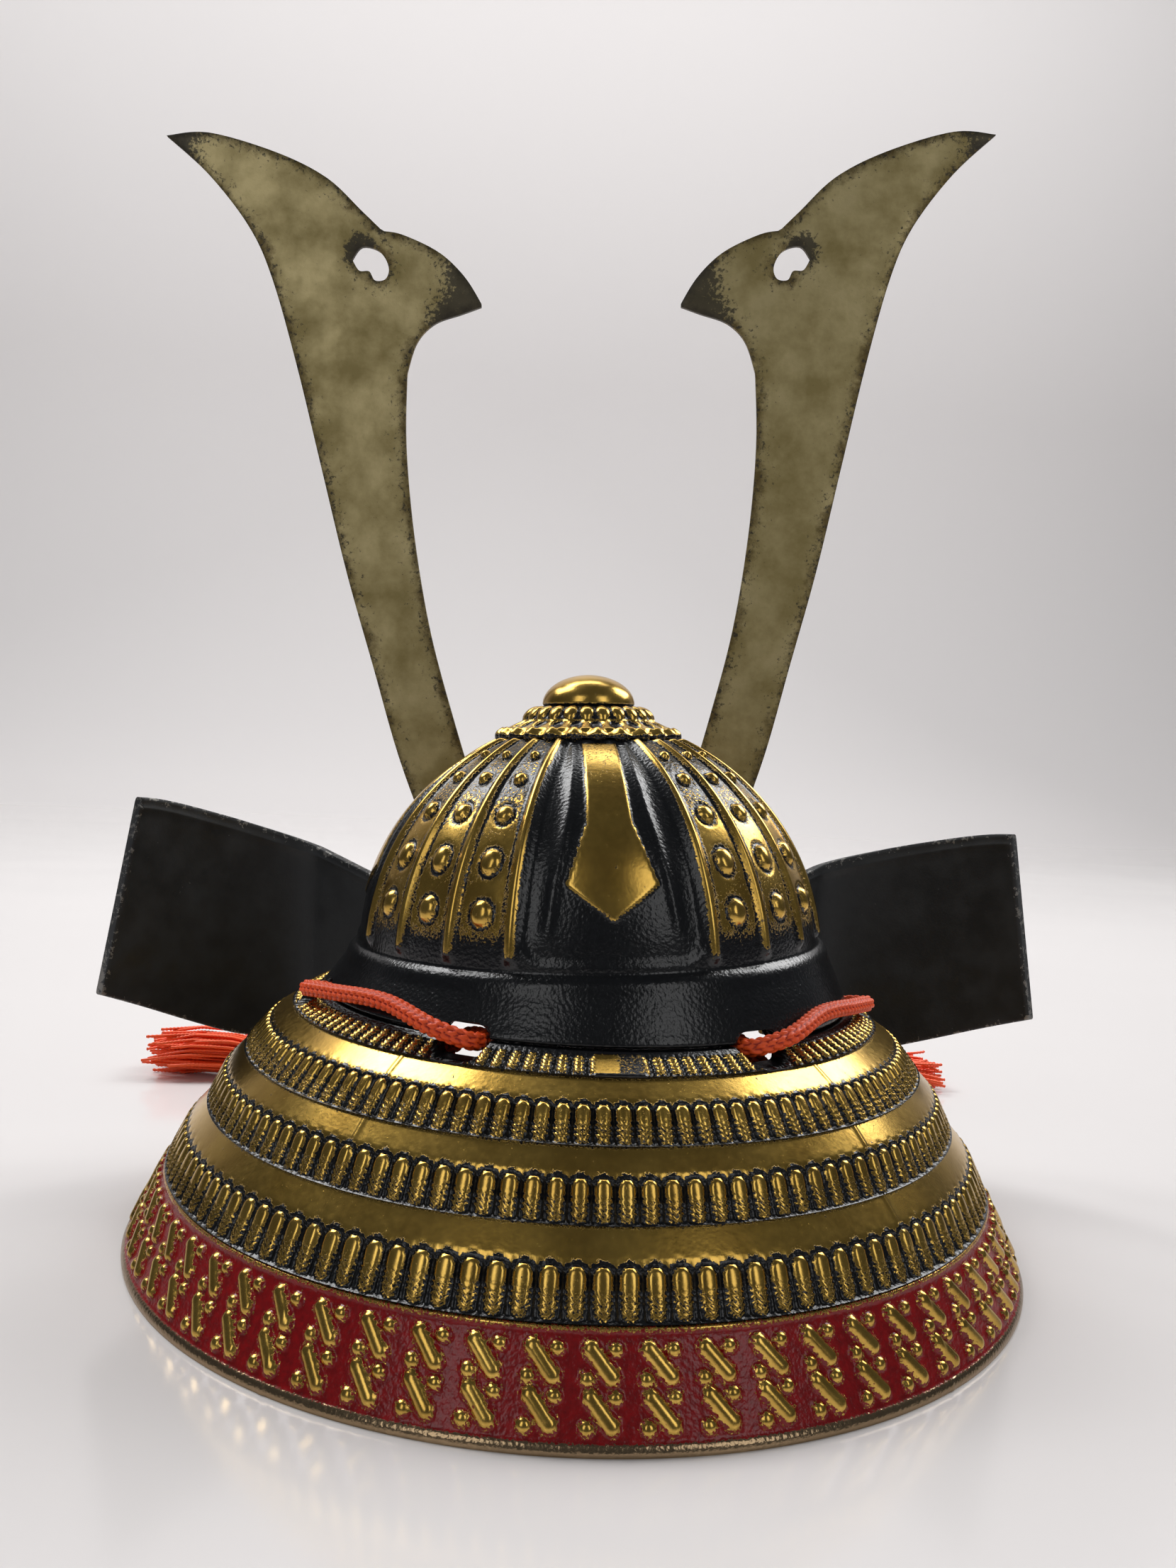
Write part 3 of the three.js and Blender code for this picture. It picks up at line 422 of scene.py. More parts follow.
def cast_relief_material(name, ground, ground_roughness, bare_rim=False):
    """Zinc casting, sprayed with a ground lacquer, its raised relief then rubbed with gold lacquer by hand.

    To the eye: warm gold with a fine metallic grain on what stands out, broken into specks where the rub
    ran out, over a dark glossy ground with a slight orange-peel skin."""
    material, tree, shader, place = new_material(name)
    tint = colours()
    gold_mask = add_node(tree, "ShaderNodeAttribute", attribute_name="gold").outputs["Fac"]
    # specks of 0.4 mm where the gold runs out, casting pits of about 1 mm set wide apart, broad patches,
    # metallic flakes of 0.16 mm, and the orange-peel lumps of the ground coat
    specks, pits, broad, grain, lumps = (
        add_node(tree, "ShaderNodeTexNoise", {"Vector": place, "Scale": 1 / (size * MM), "Detail": detail,
                                              "Roughness": roughness}).outputs["Fac"]
        for size, detail, roughness in
        ((0.4, 3.0, 0.65), (1.1, 2.0, 0.55), (9, 3.0, 0.5), (0.16, 2.0, 0.5), (0.6, 1.0, 0.4)))
    edge = add_node(tree, "ShaderNodeMapRange",
                    {"Value": specks, "From Min": 0.3, "From Max": 0.7,
                     "To Min": 0.12, "To Max": 0.88}).outputs[0]
    over = add_node(tree, "ShaderNodeMath", {0: gold_mask, 1: edge}, operation="SUBTRACT").outputs[0]
    rubbed = add_node(tree, "ShaderNodeMapRange",
                      {"Value": over, "From Min": -0.06, "From Max": 0.1}).outputs[0]
    pitted = add_node(tree, "ShaderNodeMapRange",
                      {"Value": pits, "From Min": 0.73, "From Max": 0.76,
                       "To Min": 1.0, "To Max": 0.12}).outputs[0]
    gold = add_node(tree, "ShaderNodeMath", {0: rubbed, 1: pitted}, operation="MULTIPLY").outputs[0]
    # the gold is thinner and browner in broad patches
    thin = add_node(tree, "ShaderNodeMapRange",
                    {"Value": broad, "From Min": 0.35, "From Max": 0.7,
                     "To Min": 0.0, "To Max": 0.7}).outputs[0]
    gold_colour = add_node(tree, "ShaderNodeMix", {0: thin, 6: tint.gold, 7: linear("B08A40")},
                           data_type="RGBA").outputs[2]
    worn = add_node(tree, "ShaderNodeMapRange",
                    {"Value": pits, "From Min": 0.3, "From Max": 0.7,
                     "To Min": 0.0, "To Max": 0.45}).outputs[0]
    thin_ground = linear("4A080C" if bare_rim else "1E1F22")
    ground_colour = add_node(tree, "ShaderNodeMix", {0: worn, 6: ground, 7: thin_ground},
                             data_type="RGBA").outputs[2]
    colour = add_node(tree, "ShaderNodeMix", {0: gold, 6: ground_colour, 7: gold_colour},
                      data_type="RGBA").outputs[2]
    metal = gold
    if bare_rim:
        # the lacquer has rubbed off the hem's edge down to the dull casting
        bare = add_node(tree, "ShaderNodeAttribute", attribute_name="bare").outputs["Fac"]
        left = add_node(tree, "ShaderNodeMath", {0: bare, 1: edge}, operation="SUBTRACT").outputs[0]
        rim = add_node(tree, "ShaderNodeMapRange",
                       {"Value": left, "From Min": -0.08, "From Max": 0.1}).outputs[0]
        colour = add_node(tree, "ShaderNodeMix", {0: rim, 6: colour, 7: linear("A58D6E")},
                          data_type="RGBA").outputs[2]
        metal = add_node(tree, "ShaderNodeMath", {0: metal, 1: rim}, operation="MAXIMUM").outputs[0]
    gold_roughness = add_node(tree, "ShaderNodeMapRange",
                              {"Value": pits, "From Min": 0.3, "From Max": 0.7,
                               "To Min": 0.2, "To Max": 0.25})
    roughness = add_node(tree, "ShaderNodeMix", {0: metal, 2: ground_roughness, 3: gold_roughness.outputs[0]})
    # the bumps: flakes, then the skin, which is much shallower under the gold, then the pits
    flakes = add_node(tree, "ShaderNodeBump", {"Height": grain, "Strength": 0.35, "Distance": 0.008 * MM})
    deep = add_node(tree, "ShaderNodeMapRange", {"Value": gold, "To Min": 1.0, "To Max": 0.12}).outputs[0]
    lumps = add_node(tree, "ShaderNodeMath", {0: lumps, 1: deep}, operation="MULTIPLY").outputs[0]
    peel = add_node(tree, "ShaderNodeBump",
                    {"Height": lumps, "Strength": 0.8, "Distance": 0.11 * MM, "Normal": flakes.outputs[0]})
    sunk = add_node(tree, "ShaderNodeBump",
                    {"Height": pitted, "Strength": 0.5, "Distance": 0.05 * MM, "Normal": peel.outputs[0]})
    link_inputs(tree, shader, {"Base Color": colour, "Metallic": metal, "Roughness": roughness.outputs[0],
                               "Normal": sunk.outputs[0]})
    return material


def black_lacquer_material(name, gilt_edge=False):
    """Zinc casting sprayed matt black, handled for years.

    To the eye: a soft charcoal sheen with grey dusty smears and small bright chips along its edges."""
    material, tree, shader, place = new_material(name)
    # smears of 7 mm, the sprayed skin's grain of 0.5 mm, and chips of 1.3 mm
    smears, skin, chips = (
        add_node(tree, "ShaderNodeTexNoise", {"Vector": place, "Scale": 1 / (size * MM), "Detail": detail,
                                              "Roughness": roughness}).outputs["Fac"]
        for size, detail, roughness in ((7, 5.0, 0.6), (0.5, 3.0, 0.5), (1.3, 3.0, 0.7)))
    edge = add_node(tree, "ShaderNodeAttribute", attribute_name="worn").outputs["Fac"]
    dusty = add_node(tree, "ShaderNodeMapRange",
                     {"Value": smears, "From Min": 0.4, "From Max": 0.75,
                      "To Min": 0.0, "To Max": 0.5}).outputs[0]
    colour = add_node(tree, "ShaderNodeMix", {0: dusty, 6: linear("202224"), 7: linear("3C3E40")},
                      data_type="RGBA").outputs[2]
    reach = add_node(tree, "ShaderNodeMath", {0: edge, 1: 0.2, 2: chips}, operation="MULTIPLY_ADD").outputs[0]
    chipped = add_node(tree, "ShaderNodeMapRange",
                       {"Value": reach, "From Min": 0.74, "From Max": 0.79}).outputs[0]
    colour = add_node(tree, "ShaderNodeMix", {0: chipped, 6: colour, 7: linear("8C8A86")},
                      data_type="RGBA").outputs[2]
    metal = chipped
    if gilt_edge:
        gilt = add_node(tree, "ShaderNodeAttribute", attribute_name="gold").outputs["Fac"]
        gilded = add_node(tree, "ShaderNodeMath", {0: gilt, 1: skin}, operation="GREATER_THAN").outputs[0]
        colour = add_node(tree, "ShaderNodeMix", {0: gilded, 6: colour, 7: linear("8F7744")},
                          data_type="RGBA").outputs[2]
        metal = add_node(tree, "ShaderNodeMath", {0: metal, 1: gilded}, operation="MAXIMUM").outputs[0]
    rough = add_node(tree, "ShaderNodeMapRange",
                     {"Value": smears, "From Min": 0.3, "From Max": 0.7,
                      "To Min": 0.42, "To Max": 0.6}).outputs[0]
    bump = add_node(tree, "ShaderNodeBump", {"Height": skin, "Strength": 0.5, "Distance": 0.08 * MM})
    link_inputs(tree, shader, {"Base Color": colour, "Metallic": metal, "Roughness": rough,
                               "Normal": bump.outputs[0]})
    return material


def tarnished_brass_material():
    """Brass plate cut to shape and left unlacquered, so it has dulled in the air.

    To the eye: flat olive yellow, browner where hands and damp reached its edges, with near-black specks."""
    material, tree, shader, place = new_material("tarnished brass plate")
    tint = colours()
    inward = add_node(tree, "ShaderNodeAttribute", attribute_name="inward").outputs["Fac"]
    tip = add_node(tree, "ShaderNodeAttribute", attribute_name="tip").outputs["Fac"]
    # clouds of tarnish of 11 mm, the ragged line of the bloom, and specks of 1 mm
    clouds, ragged, specks = (
        add_node(tree, "ShaderNodeTexNoise", {"Vector": place, "Scale": 1 / (size * MM), "Detail": detail,
                                              "Roughness": roughness}).outputs["Fac"]
        for size, detail, roughness in ((11, 5.0, 0.6), (6, 8.0, 0.75), (1.0, 4.0, 0.7)))
    patch = add_node(tree, "ShaderNodeMapRange",
                     {"Value": clouds, "From Min": 0.35, "From Max": 0.65,
                      "To Min": 0.0, "To Max": 0.95}).outputs[0]
    colour = add_node(tree, "ShaderNodeMix", {0: patch, 6: tint.brass, 7: linear("978858")},
                      data_type="RGBA").outputs[2]
    # brown bloom: it starts at the edge and reaches in by 0 to 4 mm
    reach = add_node(tree, "ShaderNodeMapRange",
                     {"Value": ragged, "From Min": 0.36, "From Max": 0.72,
                      "To Min": -0.2, "To Max": 3.4}).outputs[0]
    bloom = add_node(tree, "ShaderNodeMath", {0: reach, 1: inward}, operation="SUBTRACT").outputs[0]
    browned = add_node(tree, "ShaderNodeMapRange",
                       {"Value": bloom, "From Min": -0.8, "From Max": 1.4, "To Max": 0.85}).outputs[0]
    colour = add_node(tree, "ShaderNodeMix", {0: browned, 6: colour, 7: tint.tarnish},
                      data_type="RGBA").outputs[2]
    # black at the points and in specks near the edges
    near = add_node(tree, "ShaderNodeMapRange",
                    {"Value": inward, "From Min": 0.0, "From Max": 6.0,
                     "To Min": 0.2, "To Max": 0.02}).outputs[0]
    likely = add_node(tree, "ShaderNodeMath", {0: tip, 1: 0.3, 2: near}, operation="MULTIPLY_ADD").outputs[0]
    dark = add_node(tree, "ShaderNodeMath", {0: specks, 1: likely}, operation="ADD").outputs[0]
    blackened = add_node(tree, "ShaderNodeMapRange",
                         {"Value": dark, "From Min": 0.69, "From Max": 0.8, "To Max": 0.85}).outputs[0]
    colour = add_node(tree, "ShaderNodeMix", {0: blackened, 6: colour, 7: linear("24221E")},
                      data_type="RGBA").outputs[2]
    metal = add_node(tree, "ShaderNodeMapRange",
                     {"Value": blackened, "To Min": 0.75, "To Max": 0.2}).outputs[0]
    rough = add_node(tree, "ShaderNodeMapRange",
                     {"Value": clouds, "From Min": 0.3, "From Max": 0.7,
                      "To Min": 0.42, "To Max": 0.58}).outputs[0]
    dents = add_node(tree, "ShaderNodeBump", {"Height": clouds, "Strength": 0.5, "Distance": 0.5 * MM})
    grain = add_node(tree, "ShaderNodeBump",
                     {"Height": specks, "Strength": 0.4, "Distance": 0.08 * MM, "Normal": dents.outputs[0]})
    link_inputs(tree, shader, {"Base Color": colour, "Metallic": metal, "Roughness": rough,
                               "Normal": grain.outputs[0]})
    return material


def rayon_material(name, thread):
    """Rayon yarn, spun with a slight sheen and dyed orange-red.

    To the eye: a bright soft sheen on the crown of each strand, fine fibres, and painted deep red shade in
    the creases."""
    material, tree, shader, place = new_material(name)
    tint = colours()
    crease = add_node(tree, "ShaderNodeAttribute", attribute_name="crease").outputs["Fac"]
    fibres = add_node(tree, "ShaderNodeTexNoise",
                      {"Vector": place, "Scale": 1 / (thread * MM),
                       "Detail": 3.0, "Roughness": 0.6}).outputs["Fac"]
    faded = add_node(tree, "ShaderNodeTexNoise", {"Vector": place, "Scale": 1 / (6 * MM)}).outputs["Fac"]
    # painted shade: the colour darkens to deep red where the strand is low, in the creases between strands
    shade = add_node(tree, "ShaderNodeMapRange",
                     {"Value": crease, "From Min": 0.1, "From Max": 0.65,
                      "To Min": 0.9, "To Max": 0.0}).outputs[0]
    light = add_node(tree, "ShaderNodeMapRange",
                     {"Value": faded, "From Min": 0.35, "From Max": 0.65,
                      "To Min": 0.0, "To Max": 0.35}).outputs[0]
    colour = add_node(tree, "ShaderNodeMix", {0: light, 6: tint.cord, 7: linear("FF6A2A")},
                      data_type="RGBA").outputs[2]
    colour = add_node(tree, "ShaderNodeMix", {0: shade, 6: colour, 7: linear("A81A06")},
                      data_type="RGBA").outputs[2]
    bump = add_node(tree, "ShaderNodeBump", {"Height": fibres, "Strength": 0.6, "Distance": 0.06 * MM})
    link_inputs(tree, shader, {"Base Color": colour, "Normal": bump.outputs[0]})
    shader.inputs["Roughness"].default_value = 0.48
    shader.inputs["Sheen Weight"].default_value = 0.05
    shader.inputs["Sheen Roughness"].default_value = 0.4
    shader.inputs["Sheen Tint"].default_value = linear("FF7A48")
    return material


def material_once(name, make):
    """The material of that name, made at its first use."""
    return bpy.data.materials.get(name) or make()


def black_ground():
    name = "gold rubbed over black lacquer"
    return material_once(name, lambda: cast_relief_material(name, colours().lacquer, 0.24))


def plain_black():
    name = "matt black sprayed casting"
    return material_once(name, lambda: black_lacquer_material(name, gilt_edge=True))


# Bowl
def leaned(points):
    """The dome leans sideways on its level foot, little by little from the foot up."""
    share = np.clip((points[..., 2] - BAND_FOOT) / (BOWL_BASE - BAND_FOOT), 0, 1)
    angle = np.radians(DOME_LEAN) * share
    x, z = points[..., 0], points[..., 2] - BOWL_BASE
    turned_x = x * np.cos(angle) + z * np.sin(angle)
    turned_z = z * np.cos(angle) - x * np.sin(angle)
    return np.stack([turned_x, points[..., 1], turned_z + BOWL_BASE], axis=-1)


def dome_relief(azimuth, climb):
    """Relief in millimetres and gold on the dome, at azimuths and at angles of climb up its ellipse."""
    radius = BOWL_RADIUS * np.cos(climb)
    height = BOWL_BASE + BOWL_HEIGHT * np.sin(climb)
    across = np.abs((azimuth + 45) % 90 - 45)
    rib_height, stud_rise = sizes().rib_height / MM, sizes().stud_rise / MM
    side = across * np.pi / 180 * radius

    rib_half = 1.33 * (radius / BOWL_RADIUS) ** 0.4
    rib_distance = np.min([np.abs(across - rib) for rib in RIB_ANGLES], axis=0) * np.pi / 180 * radius
    rib_fade = smooth(57.8, 59.6, height)
    rib = np.clip(1 - (rib_distance / rib_half) ** 2, 0, 1) ** 1.4 * rib_fade

    # the black panels are sunk, with a flute along each side and a soft ridge beside the plate
    from_rib = (PANEL_HALF_ANGLE - across) * np.pi / 180 * radius - rib_half * 0.8
    from_foot = height - 58.3
    corner = 5.0
    rounded = corner - np.hypot(np.clip(corner - from_rib, 0, None), np.clip(corner - from_foot, 0, None))
    inside = np.where((from_rib < corner) & (from_foot < corner), rounded, np.minimum(from_rib, from_foot))
    sunk = smooth(0.0, 1.5, inside)
    ridge_place = np.interp(height, [62, 72, 84, 95], [11.5, 9.8, 6.6, 4.6])
    fade = smooth(60, 68, height)
    ridge = line_bump(side - ridge_place, 0.75) * fade
    flute = smooth(0.3, 2.5, side - ridge_place) * sunk * fade

    relief = rib_height * rib - 0.5 * sunk - 0.25 * flute + 0.38 * ridge * sunk

    # studs between the ribs, each in a shallow ring
    stud = np.zeros_like(relief)
    ring = np.zeros_like(relief)
    for column in STUD_ANGLES:
        for row_height, half_width, half_height in STUD_ROWS:
            row_climb = np.arcsin((row_height - BOWL_BASE) / BOWL_HEIGHT)
            x = (across - column) * np.pi / 180 * radius
            y = (climb - row_climb) * BOWL_HEIGHT
            distance = np.hypot(x / half_width, y / half_height)
            stud = np.maximum(stud, half_round(distance) ** 0.8)
            ring = np.maximum(ring, line_bump(distance - 1.22, 0.2))
    relief += stud_rise * stud - 0.22 * ring

    # the pointed plate
    plate_half = np.interp(height, PLATE_HEIGHTS, PLATE_HALF_WIDTHS)
    in_plate = np.where((height > PLATE_HEIGHTS[0]) & (height < PLATE_HEIGHTS[-1]), plate_half - side, -9.0)
    plate = smooth(-0.25, 0.25, in_plate)
    relief += 0.42 * plate

    # gold on what stands out; it runs out in specks near the foot and leaves the hollows dark near the crown
    on_field = smooth(-0.4, 0.2, (across - PANEL_HALF_ANGLE) * np.pi / 180 * radius)
    lower = smooth(59.5, 66.0, height)
    upper = 1 - 0.62 * smooth(78, 88, height)
    patchy = 0.9 + 0.1 * np.sin(height * 0.9 + 3 * np.sin(np.radians(azimuth) * 7))
    field = 1.0 * on_field * lower * upper * patchy
    foot_line = line_bump(rib_distance - rib_half - 0.15, 0.32)
    gold = field * (1 - 0.95 * foot_line) * (1 - 0.9 * ring * lower)
    gold = np.maximum(gold, 0.98 * smooth(0.2, 0.5, stud))
    gold = np.maximum(gold, smooth(0.35, 0.6, rib) * smooth(58.6, 61.0, height))
    tip_wear = 1 - 0.45 * smooth(70, 66, height) * smooth(2.2, 0.2, in_plate)
    # painted reflection: the plate's gold is weaker towards its top, so it reads dark brown there
    gold = np.maximum(gold, smooth(-0.12, 0.12, in_plate) * tip_wear * (1 - 0.25 * smooth(86, 92, height)))
    return relief, gold


class HELMET_OT_bowl(bpy.types.Operator):
    """Builds the ribbed and studded bowl with its black base band"""

    bl_idname = "helmet.bowl"
    bl_label = "Bowl"

    def execute(self, context):
        columns = 480
        azimuth = np.linspace(0, 360, columns, endpoint=False)[None, :]
        top = math.asin((CROWN_SEAT - BOWL_BASE) / BOWL_HEIGHT)
        foot = math.asin(2.2 / BOWL_HEIGHT)
        climb = np.linspace(top, foot, 118)[:, None]
        relief, gold = dome_relief(azimuth, climb)
        fade = smooth(0, 0.04, top - climb)
        relief = relief * fade
        out_radius, out_height = np.cos(climb) / BOWL_RADIUS, np.sin(climb) / BOWL_HEIGHT
        length = np.hypot(out_radius, out_height)
        radius = BOWL_RADIUS * np.cos(climb) + relief * out_radius / length
        height = BOWL_BASE + BOWL_HEIGHT * np.sin(climb) + relief * out_height / length
        dome = polar(azimuth, radius, height)

        band = [(44.94, 57.2), (45.6, 56.8), (46.4, 56.1), (46.9, 54.9), (46.9, 54.4), (48.2, 52.0),
                (49.9, 48.8), (51.0, 47.0), (51.0, 46.5), (48.0, 46.5)]
        band = softened(resample(band, 0.5), 2)[1:]
        inner_radius, inner_height = BOWL_RADIUS - CAST_WALL, BOWL_HEIGHT - CAST_WALL
        inner_climb = np.linspace(0, math.asin(36 / inner_height), 9)
        inner = np.stack([inner_radius * np.cos(inner_climb),
                          BOWL_BASE + inner_height * np.sin(inner_climb)], axis=-1)
        profile = np.concatenate([band, [(43.5, 54.9)], inner[1:], [(9.0, 92.1)]])
        rest = polar(azimuth, profile[:, :1], profile[:, 1:])
        points = leaned(np.concatenate([dome, rest]))
        mask = np.concatenate([np.broadcast_to(gold, dome.shape[:2]), np.zeros(rest.shape[:2])])
        faces = turned_faces(len(points), columns)
        bowl = add_mesh("bowl_casting", points, faces, black_ground(), {"gold": mask}, crisp=70)
        cut(bowl, slot_cutters())
        settle(bowl, "antique_gold", "bowl")
        return {"FINISHED"}


class HELMET_OT_finial(bpy.types.Operator):
    """Builds the domed knob with its bead ring and petal flange"""

    bl_idname = "helmet.finial"
    bl_label = "Finial"

    def execute(self, context):
        columns, petals = 288, 24
        azimuth = np.linspace(0, 360, columns, endpoint=False)[None, :]
        turn = np.radians(np.linspace(0, 90, 14))
        dome = np.stack([9.1 * np.cos(turn), 102.3 + 5.9 * np.sin(turn)], axis=-1)[:-1]
        flange = [(14.0, 95.5), (17.3, 95.3), (17.9, 95.6), (17.9, 96.6), (17.0, 97.3), (12.8, 99.3),
                  (12.6, 99.5)]
        profile = np.concatenate([flange, [(11.3, 100.9), (9.4, 101.9), (8.6, 102.0)], dome, [(0.6, 108.2)]])
        profile = softened(resample(profile, 0.3), 1)
        slope = np.gradient(profile, axis=0)
        out = np.stack([slope[:, 1], -slope[:, 0]], axis=-1)
        out /= np.linalg.norm(out, axis=1)[:, None]
        radius, height = profile[:, :1], profile[:, 1:]
        bead_turn = ((azimuth * petals / 360) % 1 - 0.5) * 2 * np.pi / petals
        petal_turn = (((azimuth * petals / 360) + 0.5) % 1 - 0.5) * 2 * np.pi / petals
        # beads sit between the flange and the knob
        along = np.where(height > 99.0, height - 100.5, 9.0) / 1.25
        along = np.where(radius > 8.9, along, 9.0)
        bead = half_round(np.hypot(bead_turn * radius / 1.35, along)) ** 0.8
        # a shallow hollow in each petal
        hollow = smooth(1.2, 0.6, np.hypot(petal_turn * radius / 1.35, (radius - 14.5) / 1.7))
        hollow = np.where(height > 97.2, hollow, 0)
        wave = np.cos(petal_turn * petals) * np.where((radius > 16.2) & (height < 97.6), 1.0, 0.0)
        relief = 0.8 * bead - 0.6 * hollow + 0.5 * wave
        points = polar(azimuth, radius + relief * out[:, :1], height + relief * out[:, 1:])
        gap = smooth(99.2, 99.6, height) * (1 - smooth(102.2, 102.8, height))
        gold = 1 - 0.9 * gap
        gold = np.maximum(gold * (1 - 0.95 * smooth(0.25, 0.6, hollow)), smooth(0.3, 0.6, bead))
        gold = np.where((radius > 17.0) & (height < 96.5), 0.25, gold)
        gold = np.where((radius < 17.0) & (height < 96.2), 0.0, gold)
        faces = turned_faces(len(profile), columns)
        finial = add_mesh("finial_casting", leaned(points), faces, black_ground(), {"gold": gold}, crisp=70)
        settle(finial, "antique_gold", "finial")
        return {"FINISHED"}


# Neck guard
def lame_slope(index):
    """A lame's top point, its direction down the slope, its direction out of it, and its length."""
    top = np.array(LAMES[index][:2])
    fall = np.array(LAMES[index + 1][:2]) - top
    length = np.linalg.norm(fall)
    down = fall / length
    return top, down, np.array([-down[1], down[0]]), length


def seam_ridge(azimuth, radius):
    """The mould's parting line crosses the guard on both sides of the back."""
    return 0.14 * line_bump((np.abs(azimuth) - SEAM_AZIMUTH) * np.pi / 180 * radius, 0.4)


def lacing_relief(index, azimuth, down, radius, length):
    """Relief and gold on a lame: a plain band, then a row of lacing knots under small arches."""
    band_share, pitch_angle = LAMES[index][2:]
    count = round(2 * GUARD_HALF_ANGLE / pitch_angle)
    knot_rise = sizes().knot_rise / MM
    turn = (azimuth + GUARD_HALF_ANGLE) * count / (2 * GUARD_HALF_ANGLE) % 1 - 0.5
    pitch = 2 * GUARD_HALF_ANGLE / count * np.pi / 180 * radius
    band = band_share * length
    x, y = turn * pitch, down - band
    arch = 0.8 * (1 - np.sqrt(np.clip(1 - (2 * turn) ** 2 * 0.98, 0, 1)))
    inside = y - arch
    row = length * 0.985 - band

    knee = 0.85 if index else 0.0
    places, lifts = [0, band_share / 2, band_share, 0.93, 1], [0, 0.5 * knee, knee, 0.2, 0.45]
    base = np.interp(down / length, places, lifts)
    in_row = smooth(-0.15, 0.2, inside) * (1 - smooth(length * 0.965, length * 0.99, down))
    half = 0.355 * pitch
    top, bottom = 0.6 + half, row - 0.1 - half
    past = np.clip(np.maximum(top - y, y - bottom), 0, None)
    # wheat-ear strokes, stronger towards the knot's foot, which also notch its sides
    stroke = 0.5 + 0.5 * np.cos(2 * np.pi * (y + 0.9 * np.abs(x)) / 0.85)
    strength = smooth(0.15, 0.8, (y - top) / (bottom - top)) if index else np.ones_like(y)
    notched = half * (1 - 0.2 * stroke * strength)
    knot = half_round(np.hypot(x / notched, past / half)) ** 0.6
    strokes = stroke * strength * smooth(0.05, 0.4, knot)
    ridge = line_bump(inside - 0.3, 0.26) * smooth(-0.2, 0.3, inside)
    between = line_bump((0.5 - np.abs(turn)) * pitch, 0.15) * smooth(0.3, 0.8, inside)
    relief = base + in_row * (-0.32 + 0.42 * ridge + 0.3 * between + knot_rise * knot - 0.28 * strokes)
    relief += seam_ridge(azimuth, radius)

    rubbed = smooth(0.2, 0.55, knot) * (1 - 0.6 * strokes)
    gold = np.maximum(0.97 * smooth(0.02, -0.16, inside), in_row * 0.92 * rubbed)
    gold = np.where(down > length * 0.97, 0.0, gold)
    # painted shade: the gold is dimmed along the lame's top edge, under the step of the lame above
    gold *= 1 - 0.5 * line_bump(down - 0.1, 0.25)
    if index == 0:
        plate = smooth(4.3, 4.0, np.abs(azimuth)) * smooth(0.2, 0.5, y) * smooth(row + 0.2, row - 0.2, y)
        relief = relief * (1 - plate) + (base + 0.35) * plate
        worn = 0.35 + 0.6 * smooth(0.5, -1.0, azimuth)
        gold = np.where(inside < 0.1, 0.0, gold * (1 - plate) + worn * plate)
        gold = np.where(down > length * 0.93, 0.0, gold)
    return relief, gold


def lame_points(index, azimuth, rows, relief):
    """Points of a lame's closed section: its outer relief, its foot, and its inner wall."""
    top, fall, out = lame_slope(index)[:3]
    radius = top[0] + fall[0] * rows + out[0] * relief
    height = np.clip(top[1] + fall[1] * rows + out[1] * relief, 0, None)
    outer = polar(azimuth, radius, height)
    if index < HEM:
        below = lame_slope(index + 1)
        foot = np.array(LAMES[index + 1][:2])
        inner_foot = foot - CAST_WALL * below[2]
    else:
        foot = inner_foot = np.array([RIM_RADIUS - CAST_WALL, 0.0])
    inner_top = np.array([BAND_FOOT_RADIUS - CAST_WALL, top[1]]) if index == 0 else top - CAST_WALL * out
    extra = [foot, inner_foot, (inner_foot + inner_top) / 2, inner_top]
    if index == HEM:
        extra = extra[1:]
    inside = np.stack([polar(azimuth[0], r, z) for r, z in extra])
    return np.concatenate([outer, inside])


